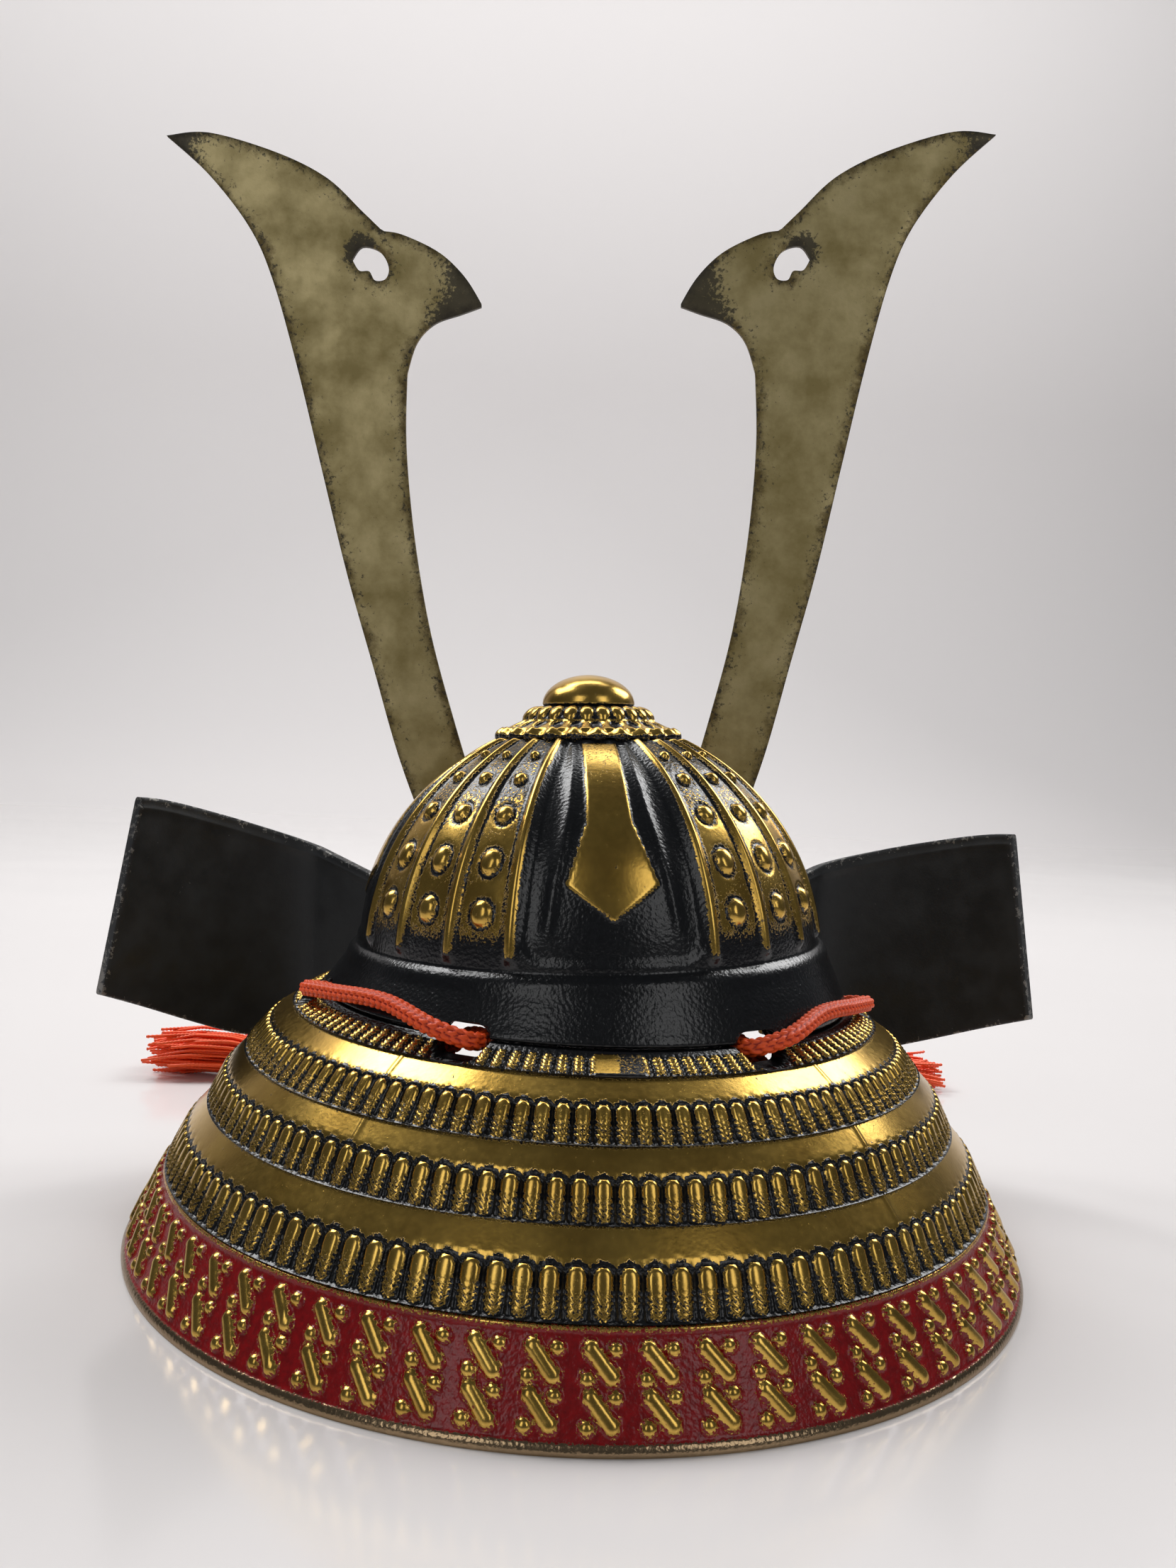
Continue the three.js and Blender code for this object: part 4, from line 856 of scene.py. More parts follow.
class HELMET_OT_neck_guard(bpy.types.Operator):
    """Builds the four laced lames and the red hem of the neck guard"""

    bl_idname = "helmet.neck_guard"
    bl_label = "Neck guard"

    def execute(self, context):
        for index in range(HEM):
            top, fall, _, length = lame_slope(index)
            count = round(2 * GUARD_HALF_ANGLE / LAMES[index][3])
            azimuth = np.linspace(-GUARD_HALF_ANGLE, GUARD_HALF_ANGLE, count * 12 + 1)[None, :]
            band = LAMES[index][2] * length
            plain = np.linspace(0, band, 7 if index else 3, endpoint=False)
            laced = np.linspace(band, length * 0.985, round((length * 0.985 - band) / 0.26))
            rows = np.concatenate([plain, laced, [length]])[:, None]
            relief, gold = lacing_relief(index, azimuth, rows, top[0] + fall[0] * rows, length)
            points = lame_points(index, azimuth, rows, relief)
            mask = np.zeros(points.shape[:2])
            mask[: len(rows)] = gold
            faces = swept_faces(*points.shape[:2])
            lame = add_mesh(f"lame_{index + 1}", points, faces, black_ground(), {"gold": mask}, crisp=75)
            if index == 0:
                cut(lame, slot_cutters())
            settle(lame, "antique_gold", "neck_guard")
        self.make_hem()
        return {"FINISHED"}

    def make_hem(self):
        top, fall, _, length = lame_slope(HEM)
        count = round(2 * GUARD_HALF_ANGLE / LAMES[HEM][3])
        azimuth = np.linspace(-GUARD_HALF_ANGLE, GUARD_HALF_ANGLE, count * 22 + 1)[None, :]
        rows = np.linspace(0, length, 50)[:, None]
        radius = top[0] + fall[0] * rows
        pitch = 2 * GUARD_HALF_ANGLE / count * np.pi / 180 * radius
        x = ((azimuth + GUARD_HALF_ANGLE) * count / (2 * GUARD_HALF_ANGLE) % 1 - 0.5) * pitch
        stitch = np.zeros(np.broadcast_shapes(azimuth.shape, rows.shape))
        halo = np.zeros_like(stitch)
        for middle in (0.29 * length, 0.66 * length):
            y = rows - middle
            # a long bar from upper left to lower right, and a dot on each side of it
            share = np.clip((x * 1.45 + y * 1.75) / (1.45**2 + 1.75**2), -1, 1)
            notch = 0.1 * np.cos(2 * np.pi * share * 3.2)
            bar = np.hypot(x - 1.45 * share, y - 1.75 * share) / (1.2 + notch)
            dots = np.minimum(np.hypot(x - 1.95, (y + 1.75) * 1.1), np.hypot(x + 1.95, y - 2.0)) / 1.1
            stitch = np.maximum(stitch, np.maximum(half_round(bar), 0.8 * half_round(dots)))
            halo = np.maximum(halo, line_bump(np.minimum(bar, dots) - 1.2, 0.22))
        ridge = 1 - smooth(0.5, 1.3, rows)
        rim = smooth(0.885, 0.91, rows / length)
        rise = sizes().stitch_rise / MM
        relief = rise * stitch**0.85 + 0.3 * ridge * smooth(0, 0.4, rows)
        relief = relief + 0.35 * rim * smooth(length, length - 0.6, rows) + seam_ridge(azimuth, radius)
        gold = np.maximum(smooth(0.25, 0.6, stitch) * 0.95, 0.62 * ridge)
        gold = np.maximum(gold, 0.45 * halo)
        bare = rim + 0 * azimuth
        points = lame_points(HEM, azimuth, rows, relief)
        masks = {"gold": np.zeros(points.shape[:2]), "bare": np.full(points.shape[:2], 0.9)}
        masks["gold"][: len(rows)] = gold * (1 - rim)
        masks["bare"][: len(rows)] = bare
        name = "gold rubbed over crimson lacquer"
        material = material_once(
            name, lambda: cast_relief_material(name, colours().crimson, 0.26, bare_rim=True))
        faces = swept_faces(*points.shape[:2])
        hem = add_mesh("red_hem", points, faces, material, masks, crisp=75)
        settle(hem, "antique_gold", "neck_guard")


# Visor and turned-back wings
class HELMET_OT_visor(bpy.types.Operator):
    """Builds the visor over the face, with its rolled edge"""

    bl_idname = "helmet.visor"
    bl_label = "Visor"

    def execute(self, context):
        azimuth = np.linspace(-VISOR_HALF_ANGLE, VISOR_HALF_ANGLE, 141)[None, :]
        section = softened(resample(VISOR_SECTION, 0.06), 1)
        share, lift = section[:, :1], section[:, 1:]
        reach = 2 + (VISOR_LIP - VISOR_ROOT - 2) * np.cos(np.radians(azimuth) * 90 / VISOR_HALF_ANGLE)
        back = np.where((share < 0.02) & (lift < -1), 1.1, 0.0)
        radius = VISOR_ROOT + reach * share + back
        height = VISOR_HEIGHT - VISOR_FALL * np.clip(share, 0, 1) ** 1.4 + lift
        points = polar(180 + azimuth, radius, height)
        gilt = smooth(0.05, 0.35, lift) + 0 * azimuth
        edge = smooth(0.8, 0.95, share) + 0 * azimuth
        faces = swept_faces(len(section), azimuth.shape[1])
        masks = {"gold": gilt, "worn": edge}
        visor = add_mesh("visor_casting", points, faces, plain_black(), masks, crisp=60)
        settle(visor, "black_lacquer", "visor")
        return {"FINISHED"}


def wing_line():
    """The wing's plan: out along the guard's end, then turned back, as points, tangents and shares."""
    start, bend, pull_out, pull_back, end = np.array(WING_PLAN)
    t = np.linspace(0, 1, 200)[:, None]
    rest = 1 - t
    curve = rest**3 * bend + 3 * rest**2 * t * pull_out + 3 * rest * t**2 * pull_back + t**3 * end
    straight = start + (bend - start) * np.linspace(0, 1, 40)[:, None]
    points = resample(np.concatenate([straight[:-1], curve]), 0.5)
    tangent = np.gradient(points, axis=0)
    tangent /= np.linalg.norm(tangent, axis=1)[:, None]
    return points, tangent, np.linspace(0, 1, len(points))


class HELMET_OT_wings(bpy.types.Operator):
    """Builds the two wings turned back at the front ends of the neck guard"""

    bl_idname = "helmet.wings"
    bl_label = "Turned-back wings"

    def execute(self, context):
        plan, tangent, at = wing_line()
        normal = np.stack([-tangent[:, 1], tangent[:, 0]], axis=-1)
        foot, top = (softened(np.interp(at, WING_PLACES, heights), 60) for heights in (WING_FEET, WING_TOPS))
        # the section, from the foot up the front and down the back: height share, distance out
        border = 3.0 / 40
        front = [(0.0, 0.9), (0.006, 1.35), (0.02, 1.5), (border, 1.5), (border + 0.012, 1.05), (0.5, 1.0),
                 (0.988 - border, 1.05), (1 - border, 1.5), (0.98, 1.5), (0.994, 1.35), (1.0, 0.9)]
        back = [(1.0, -0.7), (0.994, -0.93), (0.98, -1.0), (0.958, -1.0), (0.951, -1.22), (0.942, -1.22),
                (0.935, -1.0), (0.5, -1.0), (0.02, -1.0), (0.006, -0.93), (0.0, -0.7)]
        up = np.array([p[0] for p in front + back])[:, None]
        out = np.array([p[1] for p in front + back])[:, None]
        # more rows over the open fields
        up, out = self.denser(up, out)
        is_front = out > 0
        tip = smooth(0.951, 0.957, at)[None, :]
        out = np.where(is_front & (out < 1.2) & (up > border) & (up < 1 - border), out + 0.45 * tip, out)
        out = out * (1 - 0.3 * smooth(0.992, 1.0, at)[None, :])
        x = plan[None, :, 0] + normal[None, :, 0] * out
        y = plan[None, :, 1] + normal[None, :, 1] * out
        z = foot[None, :] + (top - foot)[None, :] * up
        raised = smooth(1.15, 1.4, out) * is_front
        edge = np.maximum(smooth(0.93, 1.0, up), smooth(0.97, 1.0, at)[None, :]) + smooth(0.04, 0.0, up)
        faces = swept_faces(len(up), len(at))
        flared = np.clip((at - WING_FLARE_START) / (1 - WING_FLARE_START), 0, None)
        for name, side, node in (("wing_right", 1, "turnback_right"), ("wing_left", -1, "turnback_left")):
            shift = flared * (WING_FLARE * (WING_FLARE_HEIGHT - z) + side * WING_SPREAD)
            placed = np.stack([side * (x + shift), y, z], axis=-1)
            masks = {"gold": raised * 1.2, "worn": edge}
            wing = add_mesh(name, placed, faces, plain_black(), masks, crisp=50)
            settle(wing, "black_lacquer", node)
        return {"FINISHED"}

    @staticmethod
    def denser(up, out):
        """The same section with rows no further apart than a fortieth of the wing's height."""
        rows = [(float(up[0, 0]), float(out[0, 0]))]
        for k in range(1, len(up)):
            low, high = np.array(rows[-1]), np.array([up[k, 0], out[k, 0]])
            count = max(1, math.ceil(abs(high[0] - low[0]) / 0.04))
            rows += [tuple(low + (high - low) * i / count) for i in range(1, count + 1)]
        rows = np.array(rows)
        return rows[:, :1], rows[:, 1:]


# Flat plates: horns and their holder
def catmull(points, steps):
    """A uniform Catmull-Rom line through points, as the CAD model draws it."""
    points = np.asarray(points, float)
    padded = np.concatenate([points[:1], points, points[-1:]])
    made = []
    for k in range(len(points) - 1):
        p0, p1, p2, p3 = padded[k : k + 4]
        t = np.linspace(0, 1, steps, endpoint=False)[:, None]
        v0, v1 = (p2 - p0) / 2, (p3 - p1) / 2
        made.append((2 * p1 - 2 * p2 + v0 + v1) * t**3 + (3 * p2 - 3 * p1 - 2 * v0 - v1) * t**2 + v0 * t + p1)
    return np.concatenate(made + [points[-1:]])


def is_inside(points, loop):
    """True for points inside a closed loop, by counting crossings."""
    x, y = points[:, :1], points[:, 1:]
    ax, ay = loop[:, 0][None], loop[:, 1][None]
    bx, by = np.roll(loop[:, 0], -1)[None], np.roll(loop[:, 1], -1)[None]
    crosses = (ay > y) != (by > y)
    cut_x = ax + (y - ay) * (bx - ax) / np.where(by == ay, 1e-9, by - ay)
    return (crosses & (x < cut_x)).sum(1) % 2 == 1


def edge_distance(points, loops):
    """Distance of each point to the nearest loop."""
    best = np.full(len(points), 1e9)
    for loop in loops:
        for a, b in zip(loop, np.roll(loop, -1, axis=0)):
            share = np.clip(((points - a) @ (b - a)) / max(((b - a) ** 2).sum(), 1e-12), 0, 1)
            best = np.minimum(best, np.linalg.norm(points - a - share[:, None] * (b - a), axis=1))
    return best


def plate_body(loops, half_thickness, spacing):
    """A flat plate with its inside filled by a net of triangles.

    half_thickness gives half the plate's thickness from the distance to its edge. Returns points with the
    plate standing upright in X and Z, its faces, and each point's distance to the edge."""
    outline = loops[0]
    low, high = outline.min(0), outline.max(0)
    columns = np.arange(low[0], high[0], spacing)
    rows = np.arange(low[1], high[1], spacing * 0.87)
    net = np.array([(x + spacing / 2 * (j % 2), y) for j, y in enumerate(rows) for x in columns])
    rings = []
    for loop in loops:
        ahead = np.roll(loop, -1, axis=0) - np.roll(loop, 1, axis=0)
        side = np.stack([-ahead[:, 1], ahead[:, 0]], axis=-1) / np.linalg.norm(ahead, axis=1)[:, None]
        rings += [loop + side * 0.3, loop - side * 0.3]
    extra = np.concatenate([net, *rings])
    keep = is_inside(extra, outline)
    for hole in loops[1:]:
        keep &= ~is_inside(extra, hole)
    extra = extra[keep]
    distance = edge_distance(extra, loops)
    near_ring = distance < 0.32
    extra = extra[((distance > 0.27) & near_ring) | (distance > 0.3 + spacing * 0.55)]
    border = np.concatenate(loops)
    edges, start = [], 0
    for loop in loops:
        edges += [(start + i, start + (i + 1) % len(loop)) for i in range(len(loop))]
        start += len(loop)
    flat = [Vector(p) for p in np.concatenate([border, extra])]
    made, _, triangles = delaunay_2d_cdt(flat, edges, [], 0, 1e-5)[:3]
    made = np.array([tuple(p) for p in made])
    triangles = np.array([t for t in triangles if len(t) == 3])
    centres = made[triangles].mean(1)
    kept = is_inside(centres, outline)
    for hole in loops[1:]:
        kept &= ~is_inside(centres, hole)
    triangles = triangles[kept]
    used = np.unique(triangles)
    renumber = np.full(len(made), -1)
    renumber[used] = np.arange(len(used))
    made, triangles = made[used], renumber[triangles]
    inward = edge_distance(made, loops)
    half = half_thickness(inward, made)
    count = len(made)
    front = np.stack([made[:, 0], HORN_PLANE - half, made[:, 1]], axis=-1)
    rear = np.stack([made[:, 0], HORN_PLANE + half, made[:, 1]], axis=-1)
    faces = triangles.tolist() + (triangles[:, ::-1] + count).tolist()
    directed = {(int(t[i]), int(t[(i + 1) % 3])) for t in triangles for i in range(3)}
    faces += [[b, a, a + count, b + count] for a, b in directed if (b, a) not in directed]
    return np.concatenate([front, rear]), faces, np.concatenate([inward, inward])


def horn_place(points):
    """The horns and their holder are twisted and lean a little on the visor."""
    lean, twist = math.radians(HORN_LEAN), math.radians(HORN_TWIST)
    turn = np.array(Matrix.Rotation(twist, 3, "Z") @ Matrix.Rotation(lean, 3, "Y"))
    centre = np.array([0, HORN_PLANE, BAND_FOOT])
    return (points - centre) @ turn.T + centre + (HORN_OFFSET, 0, 0)


class HELMET_OT_horns(bpy.types.Operator):
    """Builds the two flat brass horns with their pierced tips"""

    bl_idname = "helmet.horns"
    bl_label = "Horns"

    def execute(self, context):
        pieces, last = [], None
        for run in HORN_OUTLINE:
            points = run if last is None else [last] + run
            if len(points) == 2:
                pieces.append(np.array(points, float))
            else:
                pieces.append(catmull(points, 6))
            last = run[-1]
        outline = np.concatenate([p[:-1] for p in pieces])
        outline = resample(np.concatenate([outline, outline[:1]]), 1.1)[:-1]
        hole = catmull(HORN_HOLE + HORN_HOLE[:1], 5)[:-1]
        half = HORN_THICKNESS / 2
        points, faces, inward = plate_body(
            [outline, hole], lambda d, p: half - 0.16 * (1 - smooth(0, 0.3, d)), 1.6)
        flat = points[:, [0, 2]]
        tips = [np.linalg.norm(flat - tip, axis=1) for tip in HORN_TIPS]
        tip = np.maximum(smooth(13, 3, tips[0]) * 0.7, smooth(17, 6, tips[1]))
        tip = np.maximum(tip, 0.8 * smooth(4.5, 2.4, np.linalg.norm(flat - HORN_THROAT, axis=1)))
        brass = material_once("tarnished brass plate", tarnished_brass_material)
        masks = {"inward": inward, "tip": tip}
        for name, side, node in (("horn_plate_left", 1, "horn_left"), ("horn_plate_right", -1, "horn_right")):
            horn = add_mesh(name, horn_place(points * (side, 1, 1)), faces, brass, masks, crisp=40)
            settle(horn, "tarnished_brass", node)
        return {"FINISHED"}


class HELMET_OT_horn_holder(bpy.types.Operator):
    """Builds the fitting that carries the horns, with one pocket for each"""

    bl_idname = "helmet.horn_holder"
    bl_label = "Horn holder"

    def execute(self, context):
        left = softened(resample(HOLDER_OUTLINE, 0.8), 3)
        right = left[:-1][::-1] * (-1, 1)
        outline = np.concatenate([left, right])

        def half(inward, flat):
            # a rolled border, a sunk field, and a boss with a ring around it in the middle
            centre = np.linalg.norm(flat - HOLDER_BOSS, axis=1)
            border = half_round((inward - 1.0) / 1.0) * 0.35
            boss = 0.5 * half_round(centre / 4.0) + 0.3 * line_bump(centre - 5.8, 0.5)
            leaf = 0.25 * line_bump(inward - 3.6, 0.5)
            rounding = 0.3 * (1 - smooth(0, 0.4, inward))
            return HOLDER_THICKNESS / 2 - 0.45 + border + np.maximum(boss, leaf) - rounding

        points, faces, inward = plate_body([outline], half, 0.7)
        flat = points[:, [0, 2]]
        raised = half(inward, flat) - (HOLDER_THICKNESS / 2 - 0.45)
        gold = np.maximum(smooth(0.05, 0.2, raised), 0.3)
        placed = horn_place(points)
        holder = add_mesh("holder_casting", placed, faces, black_ground(), {"gold": gold}, crisp=60)
        cutters = []
        for side in (1, -1):
            loop = np.array(POCKET) * (side, 1)
            depth = HORN_THICKNESS / 2 + 0.3
            planes = [np.full(len(loop), HORN_PLANE + reach) for reach in (-depth, depth)]
            ends = [np.stack([loop[:, 0], plane, loop[:, 1]], axis=-1) for plane in planes]
            body = horn_place(np.concatenate(ends))
            cutters.append(add_mesh("pocket_cutter", body, turned_faces(2, len(loop)), None))
        cut(holder, cutters)
        settle(holder, "antique_gold", "horn_holder")
        return {"FINISHED"}


# Cord
def cord_path(points):
    """A centripetal Catmull-Rom line through points, as the CAD model draws it, a point every 0.3 mm."""
    points = np.asarray(points, float)
    padded = np.concatenate([[2 * points[0] - points[1]], points, [2 * points[-1] - points[-2]]])
    made = []
    for k in range(len(points) - 1):
        p0, p1, p2, p3 = padded[k : k + 4]
        d0, d1, d2 = (np.linalg.norm(b - a) ** 0.5 for a, b in ((p0, p1), (p1, p2), (p2, p3)))
        m1 = ((p1 - p0) / d0 - (p2 - p0) / (d0 + d1) + (p2 - p1) / d1) * d1
        m2 = ((p2 - p1) / d1 - (p3 - p1) / (d1 + d2) + (p3 - p2) / d2) * d1
        t = np.linspace(0, 1, 40, endpoint=False)[:, None]
        made.append(p1 + m1 * t + (3 * p2 - 3 * p1 - 2 * m1 - m2) * t**2 + (2 * p1 - 2 * p2 + m1 + m2) * t**3)
    return resample(np.concatenate(made + [points[-1:]]), 0.3)


def carried_frames(path, closed=False):
    """Two directions across the path at each point, carried along it without twisting."""
    tangent = np.roll(path, -1, 0) - np.roll(path, 1, 0) if closed else np.gradient(path, axis=0)
    tangent = tangent / np.linalg.norm(tangent, axis=1)[:, None]
    side = np.cross(tangent[0], (0, 0, 1) if abs(tangent[0][2]) < 0.9 else (1, 0, 0))
    sides = []
    for t in tangent:
        side = side - t * (side @ t)
        side = side / np.linalg.norm(side)
        sides.append(side)
    sides = np.array(sides)
    return sides, np.cross(tangent, sides)


def braid(name, path, radius, material, closed=False):
    """A round braid: eight columns of plump strand bumps around the cord, leaning left and right in turn."""
    around, columns = 32, 8
    side, up = carried_frames(path, closed)
    steps = np.linalg.norm(np.diff(path, axis=0), axis=1)
    along = np.concatenate([[0], np.cumsum(steps)])[:, None]
    turn = np.arange(around)[None, :] / around
    column = np.floor(turn * columns)
    x = turn * columns - column - 0.5
    lean = np.where(column % 2 == 0, 1, -1)
    pitch = sizes().braid_pitch / MM
    cell = (along / pitch + 0.5 * (column % 2) + 0.5 * lean * x) % 1
    bump = half_round(0.99 * np.hypot(1.75 * x, 1.02 * (2 * cell - 1))) ** 0.8
    reach = radius * (0.66 + 0.38 * bump)
    angle = 2 * np.pi * turn
    across = side[:, None, :] * np.cos(angle)[..., None] + up[:, None, :] * np.sin(angle)[..., None]
    points = path[:, None, :] + across * reach[..., None]
    faces = grid_faces(len(path), around, True, True) if closed else turned_faces(len(path), around)
    # the strand bumps' height goes to the material, which paints shade in the creases between them
    return add_mesh(name, points, faces, material, {"crease": bump}, crisp=None)


def rayon_braid():
    return material_once("rayon braid", lambda: rayon_material("rayon braid", 0.12))


class HELMET_OT_cord(bpy.types.Operator):
    """Lays the braided cord: its loop through the helmet, its knot, and its two tails with their tassels"""

    bl_idname = "helmet.cord"
    bl_label = "Cord and tassels"

    def execute(self, context):
        radius = sizes().cord_diameter / MM / 2
        half = np.array([polar(*row) for row in LOOP_ROUTE])
        loop = cord_path(np.concatenate([half[1:][::-1] * (-1, 1, 1), half]))
        knot = self.make_knot(radius)
        cord = settle(braid("cord_loop", loop, radius, rayon_braid()), "orange_cord", "chin_cord")
        yarn = material_once("rayon thread", lambda: rayon_material("rayon thread", 0.2))
        for route, node, (tassel_node, start, heading, fullness) in zip(
                (TAIL_LEFT, TAIL_RIGHT), ("tassel_cord_left", "tassel_cord_right"), TASSELS):
            path = cord_path(route)
            tail = settle(braid(node.replace("tassel_cord", "cord_tail"), path, radius, rayon_braid()),
                          "orange_cord", node)
            tassel = self.make_tassel(tassel_node, start, heading, fullness, yarn)
        return {"FINISHED"}

    @staticmethod
    def make_knot(radius):
        """The cord tied in a trefoil, drawn tight."""
        t = np.linspace(0, 2 * np.pi, 140, endpoint=False)
        wide = 2.45 + 1.25 * np.cos(3 * t)
        path = np.stack([wide * np.cos(2 * t), 0.86 * wide * np.sin(2 * t), 1.62 * np.sin(3 * t)], axis=-1)
        path += (0, KNOT_PLACE, KNOT_HALF_HEIGHT + FLOOR_CLEARANCE)
        knot = braid("cord_knot_tied", path, radius * 0.88, rayon_braid(), closed=True)
        return settle(knot, "orange_cord", "cord_knot")

    @staticmethod
    def make_tassel(node, start, heading, fullness, yarn):
        """A bound head, then a skirt of loose threads that spreads and lies down on the floor."""
        sections = np.array(TASSEL_SECTIONS)
        sections[SKIRT_SECTION:, 2] *= fullness
        points, faces, crease = [], [], []
        # the head is bound with turns of thread 0.7 mm apart; the dips between turns get painted shade
        along = np.linspace(0, 9.5, 64)
        turn = 2 * np.pi * np.arange(36) / 36
        wrap = 0.5 + 0.5 * np.cos(2 * np.pi * along[:, None] / 0.7 + turn[None])
        wide = np.interp(along, sections[:, 0], sections[:, 1])[:, None] - 0.18 * (1 - wrap)
        middle = np.interp(along, sections[:, 0], sections[:, 2])[:, None] + 0 * turn
        head = [along[:, None] + 0 * turn, wide * np.cos(turn), middle + wide * np.sin(turn)]
        head = np.stack(head, axis=-1)
        points.append(head.reshape(-1, 3))
        faces += turned_faces(len(along), len(turn))
        crease.append(wrap.ravel())
        random = np.random.default_rng(7)
        start_count = head.shape[0] * head.shape[1]
        sides = 4
        for _ in range(sizes().threads):
            spread, around = math.sqrt(random.random()), random.random() * 2 * np.pi
            end = random.uniform(35.0, 45.0)
            s = np.arange(7.5, end, 0.5)
            share = (s - s[0]) / (s[-1] - s[0])
            width, thick = (np.interp(s, sections[:, 0], sections[:, k]) for k in (1, 2))
            swing = random.uniform(-0.16, 0.16) * share**2
            swing = swing + 0.05 * np.sin(share * random.uniform(3, 9) + around)
            curl = random.uniform(-1.0, 1.0) * share**5
            y = width * (spread * 0.94 * math.cos(around) + swing) + 2.2 * curl
            z = thick * (1 + 0.9 * spread * math.sin(around)) * (1 - 0.15 * share**3)
            z = np.clip(z + 1.6 * curl, 0.5, None)
            line = np.stack([s, y, z], axis=-1)
            side, up = carried_frames(line)
            # two plies twisted together make the thread look beaded
            reach = THREAD_RADIUS * (1 + 0.24 * np.cos(2 * np.pi * s / 0.95 + around))
            angle = 2 * np.pi * np.arange(sides) / sides
            ring = side[:, None] * np.cos(angle)[None, :, None] + up[:, None] * np.sin(angle)[None, :, None]
            tube = line[:, None] + ring * reach[:, None, None]
            offset = start_count
            faces += [[i + offset for i in face] for face in turned_faces(len(s), sides)]
            points.append(tube.reshape(-1, 3))
            # painted shade where the thread thins between its beads
            crease.append(np.repeat(0.35 + 0.55 * (reach / 0.48) ** 2, sides))
            start_count += len(s) * sides
        points = np.concatenate(points)
        angle = math.atan2(heading[1], heading[0])
        turned = np.stack([points[:, 0] * math.cos(angle) - points[:, 1] * math.sin(angle) + start[0],
                           points[:, 0] * math.sin(angle) + points[:, 1] * math.cos(angle) + start[1],
                           points[:, 2] + FLOOR_CLEARANCE], axis=-1)
        name = node + "_threads"
        tassel = add_mesh(name, turned, faces, yarn, {"crease": np.concatenate(crease)})
        return settle(tassel, "orange_cord", node)


# Stage
def satin_table_material():
    """A white acrylic table with a satin polish, under a paper backdrop.

    To the eye: pale grey-lilac, with a soft smeared reflection close to what stands on it."""
    material, tree, shader, place = new_material("white satin acrylic")
    cloudy = add_node(tree, "ShaderNodeTexNoise",
                      {"Vector": place, "Scale": 6.0, "Detail": 2.0}).outputs["Fac"]
    polish = add_node(tree, "ShaderNodeMapRange",
                      {"Value": cloudy, "From Min": 0.3, "From Max": 0.7,
                       "To Min": 0.1, "To Max": 0.16}).outputs[0]
    height = add_node(tree, "ShaderNodeSeparateXYZ", {0: place}).outputs["Z"]
    paper = add_node(tree, "ShaderNodeMapRange", {"Value": height, "From Max": 0.05}).outputs[0]
    rough = add_node(tree, "ShaderNodeMix", {0: paper, 2: polish, 3: 1.0}).outputs[0]
    tree.links.new(rough, shader.inputs["Roughness"])
    shader.inputs["Base Color"].default_value = bpy.context.scene.helmet_studio.floor
    shader.inputs["IOR"].default_value = 1.49
    return material


def add_light(name, place, aim, size, power):
    data = bpy.data.lights.new(name, "AREA")
    data.shape = "RECTANGLE"
    data.size, data.size_y = size
    data.energy = power
    light = bpy.data.objects.new(name, data)
    light.location = place
    light.rotation_euler = (Vector(aim) - Vector(place)).to_track_quat("-Z", "Y").to_euler()
    light.visible_camera = False
    bpy.context.scene.collection.objects.link(light)


class HELMET_OT_camera(bpy.types.Operator):
    """Places the camera low behind the helmet, as the photograph was taken"""

    bl_idname = "helmet.camera"
    bl_label = "Camera"

    def execute(self, context):
        data = bpy.data.cameras.new("camera")
        data.lens = context.scene.helmet_studio.lens
        data.sensor_width = 36
        data.clip_start, data.clip_end = 0.01, 20
        camera = bpy.data.objects.new("camera", data)
        pan, tilt, roll = (math.radians(angle) for angle in CAMERA_ANGLES)
        forward = Vector((math.sin(pan) * math.cos(tilt), math.cos(pan) * math.cos(tilt), -math.sin(tilt)))
        level = Vector((math.cos(pan), -math.sin(pan), 0))
        up = level.cross(forward)
        right = level * math.cos(roll) + up * math.sin(roll)
        up = up * math.cos(roll) - level * math.sin(roll)
        turn = Matrix((right, up, -forward)).transposed().to_4x4()
        place = (np.array(CAMERA_PLACE) + AXIS) * MM
        camera.matrix_world = Matrix.Translation(place.tolist()) @ turn
        context.scene.collection.objects.link(camera)
        context.scene.camera = camera
        return {"FINISHED"}


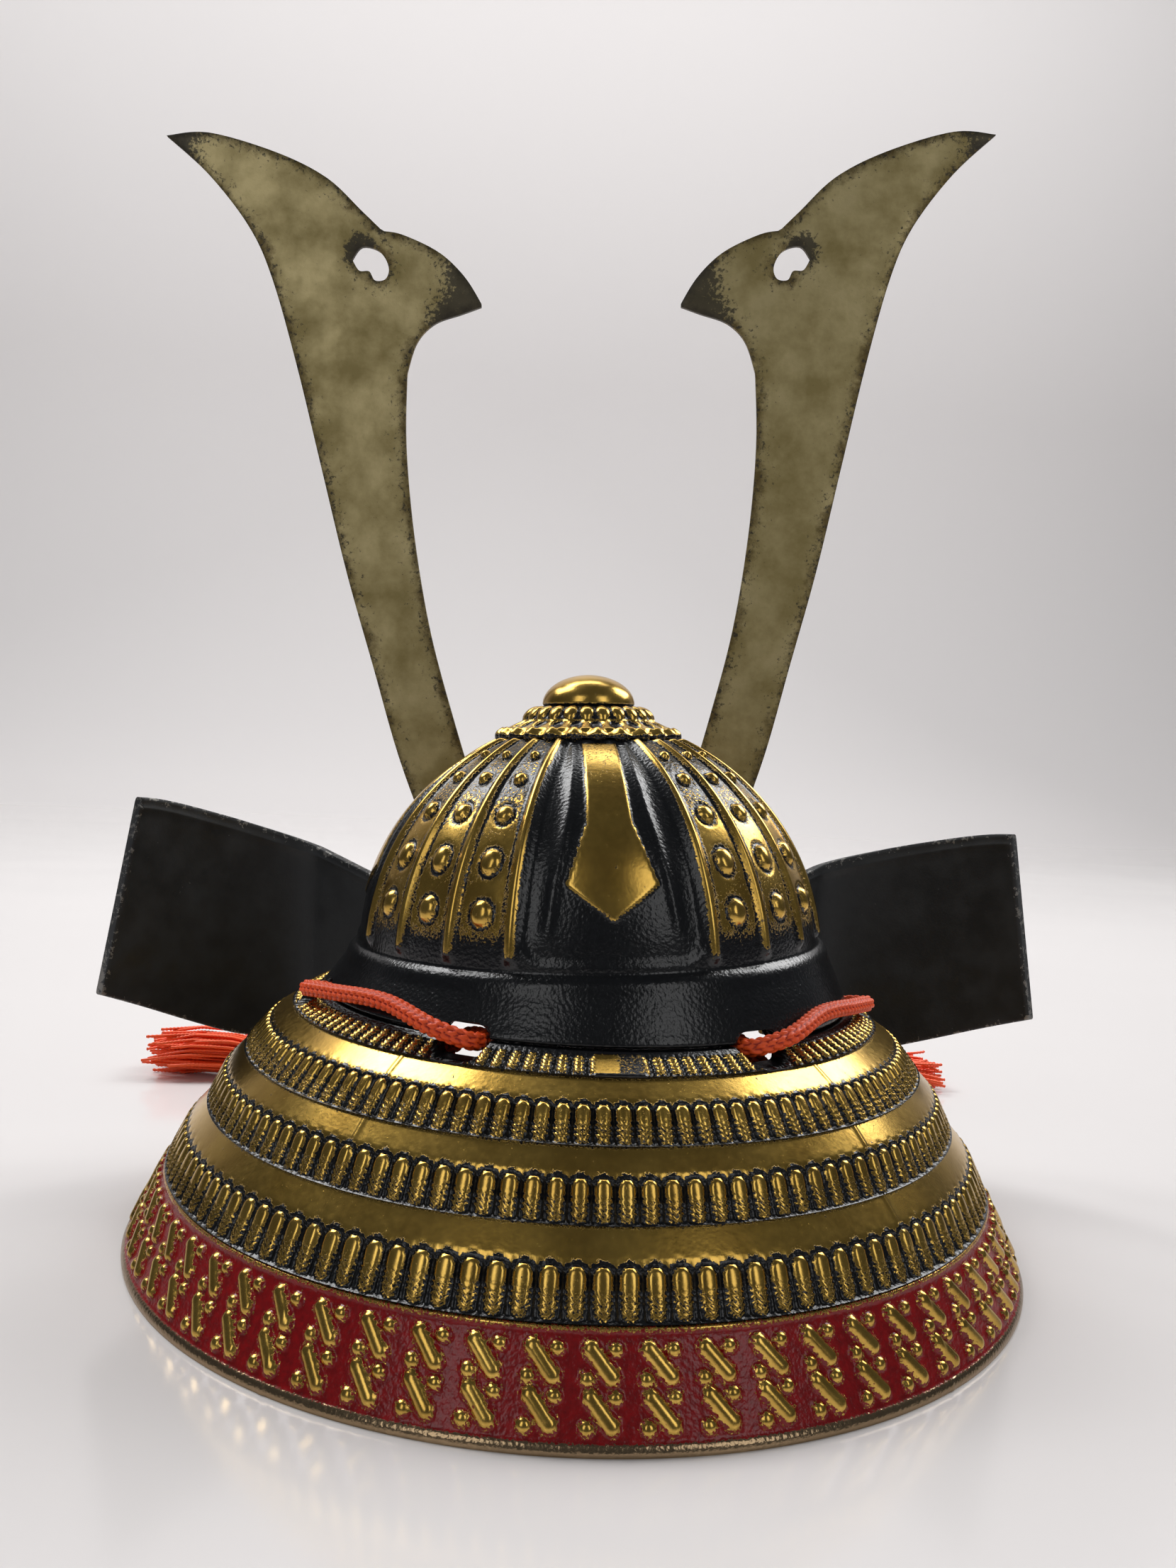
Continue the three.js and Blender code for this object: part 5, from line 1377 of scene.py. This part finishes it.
class HELMET_OT_stage(bpy.types.Operator):
    """Lays the pale table with its backdrop and sets the softboxes"""

    bl_idname = "helmet.stage"
    bl_label = "Table and light"

    def execute(self, context):
        studio = context.scene.helmet_studio
        turn = np.radians(np.linspace(0, 90, 24))
        sweep = np.stack([0.95 + 0.6 * np.sin(turn), 0.6 - 0.6 * np.cos(turn)], axis=-1)
        profile = np.concatenate([[(-1.6, 0.0), (-0.8, 0.0), (0.0, 0.0), (0.6, 0.0)], sweep, [(1.55, 2.6)]])
        across = np.linspace(-2.6, 2.6, 9)
        points = [[(x, y, z) for x in across] for y, z in profile]
        points = np.array(points).reshape(-1, 3) / MM - AXIS
        table = add_mesh("table", points, grid_faces(len(profile), len(across)), satin_table_material())
        if table.data.polygons[0].normal.z < 0:
            table.data.flip_normals()
        for name, place, aim, size, power in LIGHTS:
            add_light(name, place, aim, size, getattr(studio, power))
        world = bpy.data.worlds.new("room")
        world.use_nodes = True
        world.node_tree.nodes["Background"].inputs["Color"].default_value = linear("D4DAE2")
        world.node_tree.nodes["Background"].inputs["Strength"].default_value = studio.surround
        context.scene.world = world
        context.scene.view_settings.view_transform = "Standard"
        return {"FINISHED"}


class HELMET_PT_panel(bpy.types.Panel):
    """Lists the helmet's pieces and settings"""

    bl_idname = "HELMET_PT_panel"
    bl_label = "Samurai helmet"
    bl_space_type = "VIEW_3D"
    bl_region_type = "UI"
    bl_category = "Helmet"

    def draw(self, context):
        for operator in OPERATORS:
            self.layout.operator(operator.bl_idname)
        for group in (context.scene.helmet_sizes, context.scene.helmet_colours, context.scene.helmet_studio):
            box = self.layout.box()
            for name in group.__annotations__:
                box.prop(group, name)


OPERATORS = (
    HELMET_OT_camera,
    HELMET_OT_cord,
    HELMET_OT_bowl,
    HELMET_OT_finial,
    HELMET_OT_neck_guard,
    HELMET_OT_visor,
    HELMET_OT_wings,
    HELMET_OT_horn_holder,
    HELMET_OT_horns,
    HELMET_OT_stage,
)
GROUPS = {"helmet_sizes": HelmetSizes, "helmet_colours": HelmetColours, "helmet_studio": HelmetStudio}


def register():
    for group in (*GROUPS.values(), *OPERATORS, HELMET_PT_panel):
        bpy.utils.register_class(group)
    for name, group in GROUPS.items():
        setattr(bpy.types.Scene, name, bpy.props.PointerProperty(type=group))


def unregister():
    for name in GROUPS:
        delattr(bpy.types.Scene, name)
    for group in (HELMET_PT_panel, *reversed(OPERATORS), *GROUPS.values()):
        bpy.utils.unregister_class(group)


def main():
    register()
    for operator in OPERATORS:
        area, name = operator.bl_idname.split(".")
        getattr(getattr(bpy.ops, area), name)()


if __name__ == "__main__":
    main()
